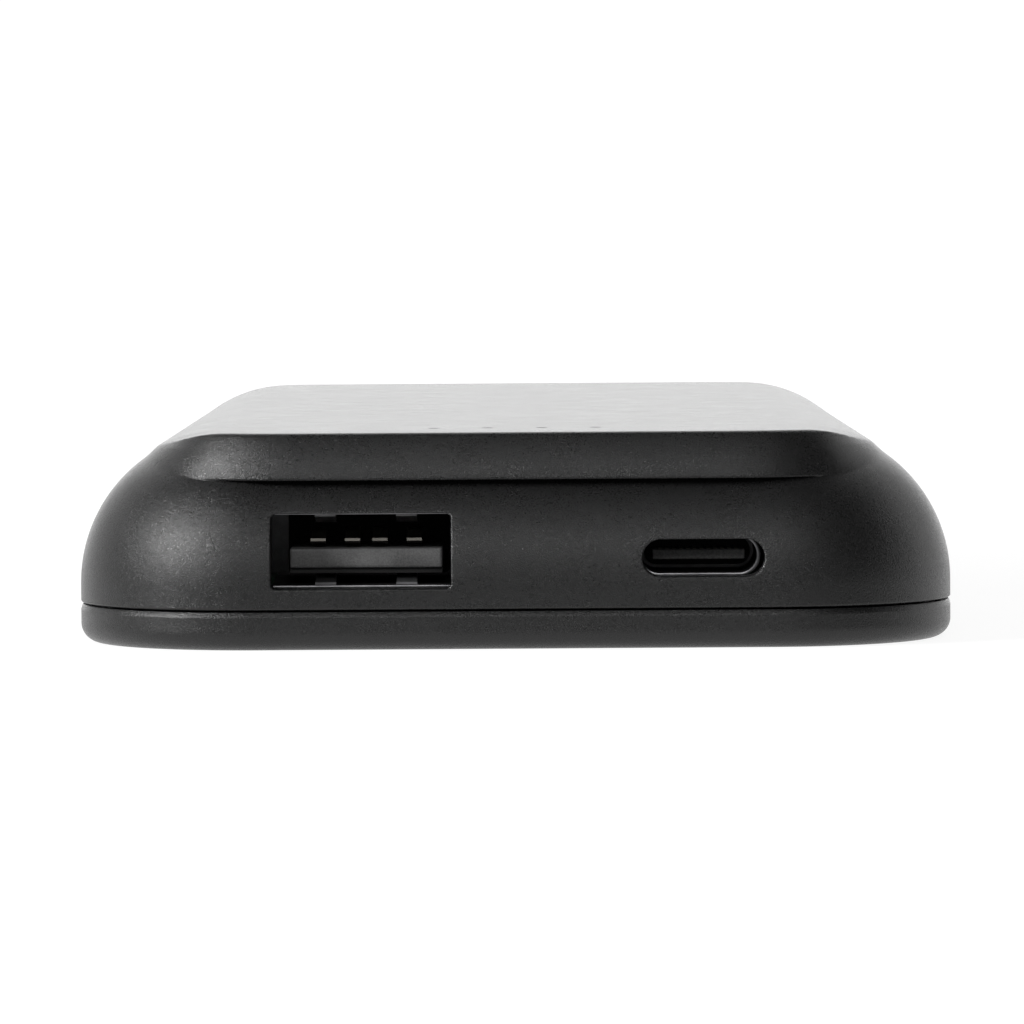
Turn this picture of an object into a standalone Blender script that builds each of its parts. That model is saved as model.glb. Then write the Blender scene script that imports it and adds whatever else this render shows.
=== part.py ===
"""Power bank: a slim two-shell battery pack with a USB-A and a USB-C port.

Axes: +X to the right of the port end, +Y to the rear, +Z up.
Origin: centre of the footprint, on the surface the pack rests on.
All sizes are in metres.
"""
import math

import bmesh
import bpy
from mathutils import Vector

# Overall size
LENGTH = 0.140
WIDTH = 0.0644
HEIGHT = 0.0156

# Casing
SIDE_RADIUS = 0.0113
CORNER_RADIUS = 0.0135
WALL = 0.0018
FLOOR = 0.0016
SEAM_HEIGHT = 0.0028
BASE_RADIUS = 0.0014
EDGE_BREAK = 0.0004
TONGUE_WIDTH = 0.0010
TONGUE_RISE = 0.0010
RIB_WIDTH = 0.0012

# Visor: the part of the top face that stands out over the port wall
VISOR_DROP = 0.0034
VISOR_SETBACK = 0.0022
VISOR_CORNER = 0.0100
VISOR_SIDE_GAP = 0.0055
VISOR_LOW_TILT = math.radians(12)
VISOR_HIGH_TILT = math.radians(33)
VISOR_EDGE = 0.0006

# Gaps between pieces
GAP = 0.0003
PRESS_ROOM = 0.0007

# USB-A port
USB_A_X = -0.01115
USB_A_Z = 0.00715
USB_A_MOUTH = (0.0130, 0.0054)
USB_A_INNER = (0.0125, 0.00512)
USB_A_DEPTH = 0.0130
USB_A_TONGUE = (0.0111, 0.00184)
USB_A_TONGUE_DROP = 0.00085
USB_A_TONGUE_BACK = 0.0010
USB_A_PITCH = (-0.0035, -0.0010, 0.0010, 0.0035)
USB_A_CONTACT = (0.0011, 0.0070, 0.00025)

# USB-C port
USB_C_X = 0.0136
USB_C_Z = 0.00655
USB_C_MOUTH = (0.0088, 0.00265)
USB_C_INNER = (0.00834, 0.00256)
USB_C_DEPTH = 0.00735
USB_C_TONGUE = (0.00669, 0.0007)
USB_C_TONGUE_BACK = 0.0012

# Both sockets
SOCKET_SHEET = 0.0003
SOCKET_SHIFT = 0.0003
SOCKET_SKIN = 0.0009

# Charge lights
LIGHT_PITCH = 0.0040
LIGHT_COUNT = 4
LIGHT_SETBACK = 0.0127
LIGHT_HOLE = 0.0008
LIGHT_SKIN = 0.0006
LIGHT_POST = 0.0020
LIGHT_BAR = 0.0013
LED_SETBACK = 0.0185
LED_SIZE = (0.0016, 0.0008, 0.0006)

# Side button and its switch
BUTTON_SETBACK = 0.0200
BUTTON_Z = 0.0076
BUTTON_FACE = (0.0100, 0.0036)
BUTTON_FLANGE = (0.0120, 0.0047, 0.0008)
SWITCH_SIZE = (0.0030, 0.0060)
PLUNGER_SIZE = (0.0020, 0.0016)
PLUNGER_DEPTH = 0.0012

# Circuit board
BOARD_THICKNESS = 0.0012
BOARD_SETBACK = 0.0035
BOARD_LENGTH = 0.0190
SCREW_INSET = 0.0090
SCREW_SETBACK = 0.0100
SCREW_SHANK = 0.0014
SCREW_HEAD = (0.0032, 0.0010)
BOSS_DIAMETER = 0.0044
INDUCTOR_SIZE = (0.0070, 0.0070, 0.0040)
CONTROLLER_SIZE = (0.0050, 0.0050, 0.0009)
PROTECTION_SIZE = (0.0040, 0.0030, 0.0010)
CAPACITOR_SIZE = (0.0025, 0.0032, 0.0020)

# Cells
TAPE_THICKNESS = 0.0002
FOAM_THICKNESS = 0.0009
CELL_EDGE = 0.0012
CELL_SIDE_ROOM = 0.0005
CELL_FRONT_ROOM = 0.0034
TAB_SIZE = (0.0060, 0.0021, 0.0002)
STRIP_THICKNESS = 0.0003
TAB_X = 0.0115
LEAD_DIAMETER = 0.0012
LEAD_REACH = 0.0028

# Smoothness
CORNER_STEPS = 9
DOME_STEPS = 9
HOLE_STEPS = 16
FLAT_END = 0.00002

# Places worked out from the sizes above
FRONT = -LENGTH / 2
SEAM_LOW = SEAM_HEIGHT - GAP / 2
SEAM_HIGH = SEAM_HEIGHT + GAP / 2
DOME_RADIUS = min(SIDE_RADIUS, HEIGHT - SEAM_HIGH - EDGE_BREAK)
DOME_CENTRE = HEIGHT - DOME_RADIUS
TONGUE_INSET = WALL + GAP
BOSS_INSET = TONGUE_INSET + TONGUE_WIDTH
SOCKET_C_Z = USB_C_Z + 0.00012
BOARD_TOP = SOCKET_C_Z - USB_C_INNER[1] / 2 - SOCKET_SHEET - GAP
BOARD_BOTTOM = BOARD_TOP - BOARD_THICKNESS
BOARD_FRONT = FRONT + BOARD_SETBACK
BOARD_REAR = BOARD_FRONT + BOARD_LENGTH
PART_SEAT = BOARD_TOP + GAP
BUTTON_Y = FRONT + BUTTON_SETBACK
CELL_FRONT = max(BOARD_REAR, BUTTON_Y + SWITCH_SIZE[1] / 2) + CELL_FRONT_ROOM
CELL_REAR = LENGTH / 2 - CORNER_RADIUS
STACK_LOW = FLOOR + GAP + TAPE_THICKNESS + GAP
STACK_HIGH = HEIGHT - WALL - GAP - FOAM_THICKNESS - GAP
CELL_THICKNESS = (STACK_HIGH - STACK_LOW - GAP) / 2
SCREW_X = WIDTH / 2 - SCREW_INSET


# ---------------------------------------------------------------- materials

def material(name, colour, roughness, metallic=0.0, alpha=1.0):
    """A Principled material, made once for each name."""
    found = bpy.data.materials.get(name)
    if found:
        return found
    made = bpy.data.materials.new(name)
    made.use_nodes = True
    shader = made.node_tree.nodes["Principled BSDF"]
    shader.inputs["Base Color"].default_value = (*colour, 1.0)
    shader.inputs["Roughness"].default_value = roughness
    shader.inputs["Metallic"].default_value = metallic
    shader.inputs["Alpha"].default_value = alpha
    return made


def casing_plastic():
    return material("casing_plastic", (0.018, 0.018, 0.019), 0.45)


def black_resin():
    return material("black_resin", (0.012, 0.012, 0.012), 0.35)


def steel_sheet():
    return material("steel_sheet", (0.55, 0.55, 0.56), 0.28, 1.0)


def gold_contact():
    return material("gold_contact", (0.83, 0.62, 0.28), 0.25, 1.0)


def board_laminate():
    return material("board_laminate", (0.02, 0.10, 0.05), 0.40)


def clear_plastic():
    return material("clear_plastic", (0.80, 0.82, 0.85), 0.20, alpha=0.5)


def cell_foil():
    return material("cell_foil", (0.62, 0.63, 0.65), 0.35, 1.0)


def nickel_strip():
    return material("nickel_strip", (0.66, 0.63, 0.56), 0.30, 1.0)


# ------------------------------------------------------------------ helpers

def clear_scene():
    """Remove whatever the file holds."""
    for item in list(bpy.data.objects):
        bpy.data.objects.remove(item, do_unlink=True)


def add_object(name, mesh, finish=None, place=(0, 0, 0), smooth=30):
    """Turn a bmesh into a named object, shaded smooth below the given angle."""
    bmesh.ops.recalc_face_normals(mesh, faces=mesh.faces)
    data = bpy.data.meshes.new(name)
    mesh.to_mesh(data)
    mesh.free()
    data.shade_smooth()
    data.set_sharp_from_angle(angle=math.radians(smooth))
    made = bpy.data.objects.new(name, data)
    made.location = place
    bpy.context.collection.objects.link(made)
    if finish:
        data.materials.append(finish)
    return made


def loft(name, rings, finish=None, place=(0, 0, 0)):
    """Closed skin through rings with equal numbers of points."""
    mesh = bmesh.new()
    loops = [[mesh.verts.new(point) for point in ring] for ring in rings]
    count = len(rings[0])
    for first, second in zip(loops, loops[1:]):
        for here in range(count):
            after = (here + 1) % count
            mesh.faces.new((first[here], first[after], second[after], second[here]))
    mesh.faces.new(list(reversed(loops[0])))
    mesh.faces.new(loops[-1])
    return add_object(name, mesh, finish, place)


def box(name, size, centre, finish=None, bevel=0.0):
    """Box with optional rounded edges, its origin at its centre."""
    mesh = bmesh.new()
    bmesh.ops.create_cube(mesh, size=1.0)
    bmesh.ops.scale(mesh, vec=Vector(size), verts=mesh.verts)
    if bevel:
        bmesh.ops.bevel(mesh, geom=list(mesh.edges), offset=bevel, segments=2,
                        profile=0.5, affect="EDGES")
    return add_object(name, mesh, finish, centre)


def pin(name, diameter, low, high, place, finish=None, steps=HOLE_STEPS):
    """Upright cylinder between two heights above place."""
    rings = [
        circle(diameter / 2, height, steps)
        for height in (low, high)
    ]
    return loft(name, rings, finish, place)


def circle(radius, height, steps=HOLE_STEPS):
    """Level ring of points about the Z axis."""
    turn = 2 * math.pi / steps
    return [
        (radius * math.cos(step * turn), radius * math.sin(step * turn), height)
        for step in range(steps)
    ]


def rounded_outline(half_x, half_y, radius, steps=4):
    """Counter-clockwise outline of a rounded rectangle, as (x, y) pairs."""
    points = []
    for corner, (side_x, side_y) in enumerate(((1, 1), (-1, 1), (-1, -1), (1, -1))):
        for step in range(steps + 1):
            angle = math.pi / 2 * (corner + step / steps)
            points.append((
                side_x * (half_x - radius) + radius * math.cos(angle),
                side_y * (half_y - radius) + radius * math.sin(angle),
            ))
    return points


def facing_prism(name, size, radius, front, rear, centre, finish=None, steps=4):
    """Rounded rectangle in X and Z, run along Y from front to rear."""
    outline = rounded_outline(size[0] / 2, size[1] / 2, radius, steps)
    rings = [
        [(centre[0] + x, depth, centre[1] + z) for x, z in outline]
        for depth in (front, rear)
    ]
    return loft(name, rings, finish)


def side_prism(name, size, radius, left, right, centre, steps=4):
    """Rounded rectangle in Y and Z, run along X from left to right."""
    outline = rounded_outline(size[0] / 2, size[1] / 2, radius, steps)
    rings = [
        [(across, centre[0] + y, centre[1] + z) for y, z in outline]
        for across in (left, right)
    ]
    return loft(name, rings)


def combine(target, tool, operation):
    """Join or cut target with a tool that stays out of the model."""
    tool.hide_render = True
    tool.display_type = "WIRE"
    step = target.modifiers.new(tool.name, "BOOLEAN")
    step.operation = operation
    step.solver = "EXACT"
    step.object = tool


def cut(target, tool):
    combine(target, tool, "DIFFERENCE")


def join(target, tool):
    combine(target, tool, "UNION")


# ------------------------------------------------------------ casing shapes

def dome_inset(height, offset=0.0):
    """How far the rounded side stands in from the widest outline."""
    radius = DOME_RADIUS - offset
    rise = min(max(height - DOME_CENTRE, 0.0), radius)
    return offset + radius - math.sqrt(radius * radius - rise * rise)


def visor_inset(height):
    """How far the lip of the visor leans back at this height."""
    bottom = HEIGHT - VISOR_DROP
    low = math.sin(VISOR_LOW_TILT)
    high = math.sin(VISOR_HIGH_TILT)
    edge_start = HEIGHT - VISOR_EDGE * (1 - high)
    radius = (edge_start - bottom) / (high - low)
    tilt = low + (min(height, edge_start) - bottom) / radius
    inset = radius * (math.cos(VISOR_LOW_TILT) - math.sqrt(1 - tilt * tilt))
    if height > edge_start:
        rise = high + (height - edge_start) / VISOR_EDGE
        inset += VISOR_EDGE * (math.cos(VISOR_HIGH_TILT) - math.sqrt(max(1 - rise * rise, 0)))
    return inset


def rectangle_gap(x, y, half_x, front, rear, radius):
    """Signed distance from a point to a rounded rectangle, negative inside."""
    over_x = abs(x) - (half_x - radius)
    over_y = abs(y - (front + rear) / 2) - ((rear - front) / 2 - radius)
    outside = math.hypot(max(over_x, 0), max(over_y, 0))
    return outside + min(max(over_x, over_y), 0) - radius


def top_gap(x, y, height):
    """Signed distance to the outline of the top shell at one height."""
    inset = dome_inset(height)
    half = WIDTH / 2 - inset
    corner = CORNER_RADIUS - inset
    body = rectangle_gap(x, y, half, FRONT + inset, LENGTH / 2 - inset, corner)
    lean = visor_inset(height)
    visor = rectangle_gap(x, y, WIDTH / 2 - VISOR_SIDE_GAP - lean,
                          FRONT + VISOR_SETBACK + lean, 0.0, VISOR_CORNER - lean)
    return min(body, max(visor, abs(x) - half))


def spokes():
    """Start and direction of each outline point, about the corners' centres."""
    far_x = WIDTH / 2 - CORNER_RADIUS
    far_y = LENGTH / 2 - CORNER_RADIUS
    for corner, (side_x, side_y) in enumerate(((1, 1), (-1, 1), (-1, -1), (1, -1))):
        for step in range(CORNER_STEPS + 1):
            angle = math.pi / 2 * (corner + step / CORNER_STEPS)
            yield Vector((side_x * far_x, side_y * far_y)), Vector((math.cos(angle), math.sin(angle)))


def inset_ring(height, inset):
    """Casing outline drawn in by inset, at one height."""
    reach = CORNER_RADIUS - inset
    return [(*(start + direction * reach), height) for start, direction in spokes()]


def visor_ring(height):
    """Outline of dome and visor together, at one height."""
    ring = []
    for start, direction in spokes():
        near = 0.0
        far = 2 * CORNER_RADIUS
        for _ in range(30):
            middle = (near + far) / 2
            point = start + direction * middle
            if top_gap(point.x, point.y, height) < 0:
                near = middle
            else:
                far = middle
        ring.append((*(start + direction * near), height))
    return ring


def dome_heights(low, offset=0.0):
    """Heights of the rings from low up the rounded side to the flat top."""
    radius = DOME_RADIUS - offset
    angles = [math.pi / 2 * step / DOME_STEPS for step in range(DOME_STEPS + 1)]
    return [low] + [DOME_CENTRE + radius * math.sin(angle) for angle in angles]


# --------------------------------------------------------------- top shell

def top_shell():
    """Upper casing: domed sides, visor over the ports, open at the seam."""
    crease = HEIGHT - VISOR_DROP
    inner = [
        inset_ring(height, dome_inset(height, WALL))
        for height in reversed(dome_heights(SEAM_HIGH, WALL))
    ]
    outer = [
        inset_ring(SEAM_HIGH, EDGE_BREAK / 2),
        inset_ring(SEAM_HIGH + EDGE_BREAK / 2, 0.0),
    ]
    rise = [height for height in dome_heights(DOME_CENTRE)[1:] if height < crease - GAP]
    outer += [inset_ring(height, dome_inset(height)) for height in rise]
    outer.append(inset_ring(crease, dome_inset(crease)))
    bands = 8
    top = [visor_ring(crease + VISOR_DROP * step / bands) for step in range(bands)]
    top.append(visor_ring(HEIGHT - VISOR_EDGE / 4))
    top.append(visor_ring(HEIGHT))
    shell = loft("top_shell", inner + outer + top, casing_plastic())
    open_ports(shell)
    open_lights(shell)
    open_button(shell)
    return shell


def socket_front(height):
    """Front plane of a socket whose pocket leaves a skin at this height."""
    return FRONT + dome_inset(height + GAP) + SOCKET_SKIN + GAP


def usb_a_front():
    return socket_front(USB_A_Z + USB_A_INNER[1] / 2 + SOCKET_SHEET)


def usb_c_front():
    return socket_front(SOCKET_C_Z + USB_C_INNER[1] / 2 + SOCKET_SHEET)


def open_ports(shell):
    """Mouths through the port wall, and the pockets that hold the sockets."""
    mouth_front = FRONT - GAP
    mouth_a = facing_prism("usb_a_mouth", USB_A_MOUTH, EDGE_BREAK, mouth_front,
                           usb_a_front() + GAP, (USB_A_X, USB_A_Z))
    cut(shell, mouth_a)
    mouth_c = facing_prism("usb_c_mouth", USB_C_MOUTH, USB_C_MOUTH[1] / 2 - FLAT_END,
                           mouth_front, usb_c_front() + GAP, (USB_C_X, USB_C_Z))
    cut(shell, mouth_c)
    room = 2 * (SOCKET_SHEET + GAP)
    pocket_a = facing_prism("usb_a_pocket", (USB_A_INNER[0] + room, USB_A_INNER[1] + room),
                            EDGE_BREAK, usb_a_front() - GAP, FRONT + USB_A_DEPTH / 2,
                            (USB_A_X + SOCKET_SHIFT, USB_A_Z))
    cut(shell, pocket_a)
    pocket_c = facing_prism("usb_c_pocket", (USB_C_INNER[0] + room, USB_C_INNER[1] + room),
                            (USB_C_INNER[1] + room) / 2 - FLAT_END, usb_c_front() - GAP,
                            FRONT + USB_C_DEPTH, (USB_C_X - SOCKET_SHIFT, SOCKET_C_Z))
    cut(shell, pocket_c)


def light_places():
    """Centres of the charge lights across the pack."""
    first = -LIGHT_PITCH * (LIGHT_COUNT - 1) / 2
    return [first + LIGHT_PITCH * index for index in range(LIGHT_COUNT)]


def open_lights(shell):
    """Small hole at each charge light, widened below for its light post."""
    for index, across in enumerate(light_places(), start=1):
        place = (across, FRONT + LIGHT_SETBACK, 0)
        hole = pin(f"light_hole_{index}", LIGHT_HOLE, HEIGHT - WALL - GAP,
                   HEIGHT + GAP, place, steps=12)
        cut(shell, hole)
        well = pin(f"light_well_{index}", LIGHT_POST + 2 * GAP, HEIGHT - WALL - GAP,
                   HEIGHT - LIGHT_SKIN, place)
        cut(shell, well)


def open_button(shell):
    """Slot in the right side for the button."""
    size = (BUTTON_FACE[0] + 2 * GAP, BUTTON_FACE[1] + 2 * GAP)
    slot = side_prism("button_slot", size, size[1] / 2 - FLAT_END, WIDTH / 2 - 3 * WALL,
                      WIDTH / 2 + GAP, (BUTTON_Y, BUTTON_Z), steps=6)
    cut(shell, slot)


# ------------------------------------------------------------ bottom cover

def bottom_cover():
    """Shallow tray with a locating tongue, screw bosses and cell ribs."""
    rings = []
    for step in range(5):
        angle = math.pi / 2 * step / 4
        inset = BASE_RADIUS * (1 - math.sin(angle))
        rings.append(inset_ring(BASE_RADIUS * (1 - math.cos(angle)), inset))
    rings.append(inset_ring(SEAM_LOW - EDGE_BREAK, 0.0))
    rings.append(inset_ring(SEAM_LOW, EDGE_BREAK))
    rings.append(inset_ring(SEAM_LOW, TONGUE_INSET))
    rings.append(inset_ring(SEAM_HIGH + TONGUE_RISE, TONGUE_INSET))
    rings.append(inset_ring(SEAM_HIGH + TONGUE_RISE, BOSS_INSET))
    rings.append(inset_ring(FLOOR, BOSS_INSET))
    cover = loft("bottom_cover", rings, casing_plastic())
    for side, word in ((-1, "left"), (1, "right")):
        place = (side * SCREW_X, FRONT + SCREW_SETBACK, 0)
        join(cover, pin(f"boss_{word}", BOSS_DIAMETER, FLOOR / 2, BOARD_BOTTOM - GAP, place))
        cut(cover, pin(f"boss_hole_{word}", SCREW_SHANK + 2 * GAP, FLOOR / 2 + GAP,
                       BOARD_BOTTOM + GAP, place))
    rib_top = STACK_LOW + CELL_THICKNESS
    rib_low = FLOOR / 2
    rib_width = WIDTH - 4 * CORNER_RADIUS
    rib_height = rib_top - rib_low
    rib_y = CELL_REAR + GAP + RIB_WIDTH / 2
    join(cover, box("rear_rib", (rib_width, RIB_WIDTH, rib_height),
                    (0, rib_y, (rib_low + rib_top) / 2)))
    return cover


# ------------------------------------------------------------------ button

def side_button():
    """Button cap flush with the side of the casing, with a flange behind it."""
    inner_face = WIDTH / 2 - dome_inset(BUTTON_Z + BUTTON_FLANGE[1] / 2, WALL) - GAP
    outline = rounded_outline(BUTTON_FACE[0] / 2, BUTTON_FACE[1] / 2,
                              BUTTON_FACE[1] / 2 - FLAT_END, steps=6)
    back_x = inner_face - BUTTON_FLANGE[2] / 2
    place = Vector((inner_face, BUTTON_Y, BUTTON_Z))
    back = [(back_x - place.x, y, z) for y, z in outline]
    face = [
        (WIDTH / 2 - dome_inset(BUTTON_Z + z) - place.x, y, z)
        for y, z in outline
    ]
    rings = [back, face]
    cap = loft("side_button", rings, casing_plastic(), place)
    flange = box("button_flange", (BUTTON_FLANGE[2], BUTTON_FLANGE[0], BUTTON_FLANGE[1]),
                 (inner_face - BUTTON_FLANGE[2] / 2, BUTTON_Y, BUTTON_Z))
    join(cap, flange)
    return inner_face - BUTTON_FLANGE[2]


def side_switch(flange_back):
    """Side-pressed switch on the board, with the plunger the button pushes."""
    height = 2 * (BUTTON_Z - PART_SEAT)
    plunger_tip = flange_back - GAP
    body_face = plunger_tip - PRESS_ROOM
    centre = (body_face - SWITCH_SIZE[0] / 2, BUTTON_Y, BUTTON_Z)
    body = box("switch_body", (SWITCH_SIZE[0], SWITCH_SIZE[1], height), centre, black_resin())
    room = 2 * GAP
    socket = box("switch_socket",
                 (PLUNGER_DEPTH * 2 + PRESS_ROOM, PLUNGER_SIZE[0] + room, PLUNGER_SIZE[1] + room),
                 (body_face, BUTTON_Y, BUTTON_Z))
    cut(body, socket)
    length = plunger_tip - (body_face - PLUNGER_DEPTH + GAP)
    box("switch_plunger", (length, *PLUNGER_SIZE),
        (plunger_tip - length / 2, BUTTON_Y, BUTTON_Z), black_resin(), bevel=0.0002)


# ----------------------------------------------------------------- sockets

def usb_a_socket():
    """Sheet shell, tongue and four contacts of the USB-A socket."""
    across = USB_A_X + SOCKET_SHIFT
    front = usb_a_front()
    rear = front + USB_A_DEPTH
    outer = (USB_A_INNER[0] + 2 * SOCKET_SHEET, USB_A_INNER[1] + 2 * SOCKET_SHEET)
    shell = facing_prism("usb_a_shell", outer, EDGE_BREAK + SOCKET_SHEET, front, rear,
                         (across, USB_A_Z), steel_sheet())
    tab_x = outer[0] + 4 * BOARD_THICKNESS
    ears = box("usb_a_ears", (tab_x, 2 * BOARD_THICKNESS, SOCKET_SHEET),
               (across, front + USB_A_DEPTH / 2, PART_SEAT + SOCKET_SHEET / 2))
    join(shell, ears)
    cavity = facing_prism("usb_a_cavity", USB_A_INNER, EDGE_BREAK, front - GAP, rear + GAP,
                          (across, USB_A_Z))
    cut(shell, cavity)
    tongue_z = USB_A_Z - USB_A_TONGUE_DROP
    tongue_front = front + USB_A_TONGUE_BACK
    block = 0.0030
    tongue = facing_prism("usb_a_tongue", USB_A_TONGUE, USB_A_TONGUE[1] / 5, tongue_front,
                          rear - block / 2, (across, tongue_z), black_resin(), steps=1)
    block_size = (USB_A_INNER[0] - 2 * GAP, USB_A_INNER[1] - 2 * GAP)
    join(tongue, facing_prism("usb_a_block", block_size, EDGE_BREAK, rear - block, rear - GAP,
                              (across, USB_A_Z)))
    wide, long, thick = USB_A_CONTACT
    for index, offset in enumerate(USB_A_PITCH, start=1):
        centre = (across + offset, tongue_front + GAP + wide / 2 + long / 2,
                  tongue_z + USB_A_TONGUE[1] / 2 + GAP / 2 + thick / 2)
        box(f"usb_a_contact_{index}", (wide, long, thick), centre, gold_contact(), bevel=0.00006)


def usb_c_socket():
    """Drawn shell and thin tongue of the USB-C socket."""
    across = USB_C_X - SOCKET_SHIFT
    front = usb_c_front()
    rear = front + USB_C_DEPTH
    outer = (USB_C_INNER[0] + 2 * SOCKET_SHEET, USB_C_INNER[1] + 2 * SOCKET_SHEET)
    shell = facing_prism("usb_c_shell", outer, outer[1] / 2 - FLAT_END, front, rear,
                         (across, SOCKET_C_Z), steel_sheet(), steps=6)
    cavity = facing_prism("usb_c_cavity", USB_C_INNER, USB_C_INNER[1] / 2 - FLAT_END,
                          front - GAP, rear + GAP, (across, SOCKET_C_Z), steps=6)
    cut(shell, cavity)
    block = 0.0016
    tongue = facing_prism("usb_c_tongue", USB_C_TONGUE, USB_C_TONGUE[1] / 4,
                          front + USB_C_TONGUE_BACK, rear - block / 2, (across, SOCKET_C_Z),
                          black_resin(), steps=1)
    block_size = (USB_C_INNER[0] - 2 * GAP, USB_C_INNER[1] - 2 * GAP)
    join(tongue, facing_prism("usb_c_block", block_size, block_size[1] / 2 - FLAT_END,
                              rear - block, rear - GAP, (across, SOCKET_C_Z)))


# ------------------------------------------------------------------- board

def main_board():
    """Board with rounded front corners, screw holes and the USB-A cut-out."""
    side = WIDTH / 2 - BOSS_INSET - GAP
    radius = CORNER_RADIUS - BOARD_SETBACK
    points = [(side, BOARD_REAR), (-side, BOARD_REAR)]
    for side_x, start in ((-1, math.pi), (1, 1.5 * math.pi)):
        for step in range(CORNER_STEPS + 1):
            angle = start + math.pi / 2 * step / CORNER_STEPS
            points.append((side_x * (side - radius) + radius * math.cos(angle),
                           BOARD_FRONT + radius + radius * math.sin(angle)))
    rings = [[(x, y, height) for x, y in points] for height in (BOARD_BOTTOM, BOARD_TOP)]
    board = loft("main_board", rings, board_laminate())
    notch_width = USB_A_INNER[0] + 2 * SOCKET_SHEET + 2 * GAP
    notch_rear = usb_a_front() + USB_A_DEPTH + GAP
    notch_front = BOARD_FRONT - WALL
    cut(board, box("board_notch", (notch_width, notch_rear - notch_front, 2 * BOARD_THICKNESS),
                   (USB_A_X + SOCKET_SHIFT, (notch_rear + notch_front) / 2, BOARD_TOP)))
    for side_x, word in ((-1, "left"), (1, "right")):
        place = (side_x * SCREW_X, FRONT + SCREW_SETBACK, 0)
        cut(board, pin(f"board_hole_{word}", SCREW_SHANK + 2 * GAP, BOARD_BOTTOM - GAP,
                       BOARD_TOP + GAP, place))
        board_screw(word, place)


def board_screw(word, place):
    """Pan-head screw that holds the board on its boss."""
    shank = SCREW_SHANK / 2
    head = SCREW_HEAD[0] / 2
    top = PART_SEAT + SCREW_HEAD[1]
    tip = FLOOR / 2 + 2 * GAP
    rings = [
        circle(shank / 2, tip),
        circle(shank, tip + shank / 2),
        circle(shank, PART_SEAT),
        circle(head, PART_SEAT),
        circle(head, top - SCREW_HEAD[1] / 3),
        circle(head - SCREW_HEAD[1] / 3, top),
    ]
    screw = loft(f"board_screw_{word}", rings, steel_sheet(), place)
    for turn, way in (("a", (1, 0.25)), ("b", (0.25, 1))):
        size = (head * way[0], head * way[1], SCREW_HEAD[1])
        cut(screw, box(f"screw_cross_{word}_{turn}", size, (place[0], place[1], top)))


def board_parts():
    """Power parts that stand on the board."""
    def stand(name, size, across, setback, finish, bevel):
        centre = (across, FRONT + setback, PART_SEAT + size[2] / 2)
        box(name, size, centre, finish, bevel)

    stand("power_inductor", INDUCTOR_SIZE, 0.0170, 0.0174, material(
        "ferrite", (0.05, 0.05, 0.055), 0.55), 0.0006)
    stand("controller_chip", CONTROLLER_SIZE, 0.0100, 0.0133, black_resin(), 0.0)
    stand("protection_chip", PROTECTION_SIZE, 0.0, 0.0125, black_resin(), 0.0)
    for index in range(3):
        stand(f"capacitor_{index + 1}", CAPACITOR_SIZE, 0.0001 + 0.0032 * index, 0.0070,
              material("capacitor_ceramic", (0.42, 0.33, 0.24), 0.5), 0.00015)


# ------------------------------------------------------------------ lights

def charge_lights():
    """Light guide under the top face, and the LEDs that feed it."""
    bar_top = HEIGHT - WALL - GAP
    bar_low = bar_top - LIGHT_BAR
    post_front = FRONT + LIGHT_SETBACK - LIGHT_POST / 2
    led_y = FRONT + LED_SETBACK
    bar_rear = led_y + LIGHT_POST / 2
    bar_wide = LIGHT_PITCH * (LIGHT_COUNT - 1) + 2 * LIGHT_POST
    guide = box("light_guide", (bar_wide, bar_rear - post_front + LIGHT_POST / 2, LIGHT_BAR),
                (0, (bar_rear + post_front) / 2, (bar_low + bar_top) / 2), clear_plastic())
    led_top = PART_SEAT + LED_SIZE[2]
    leds = material("led_resin", (0.85, 0.85, 0.75), 0.3)
    for index, across in enumerate(light_places(), start=1):
        join(guide, pin(f"guide_post_{index}", LIGHT_POST, bar_low + GAP,
                        HEIGHT - LIGHT_SKIN - GAP, (across, FRONT + LIGHT_SETBACK, 0)))
        join(guide, pin(f"guide_leg_{index}", LIGHT_POST, led_top + GAP, bar_top - GAP,
                        (across, led_y, 0)))
        box(f"indicator_led_{index}", LED_SIZE, (across, led_y, PART_SEAT + LED_SIZE[2] / 2),
            leds, bevel=0.0001)


# ------------------------------------------------------------------- cells

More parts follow.
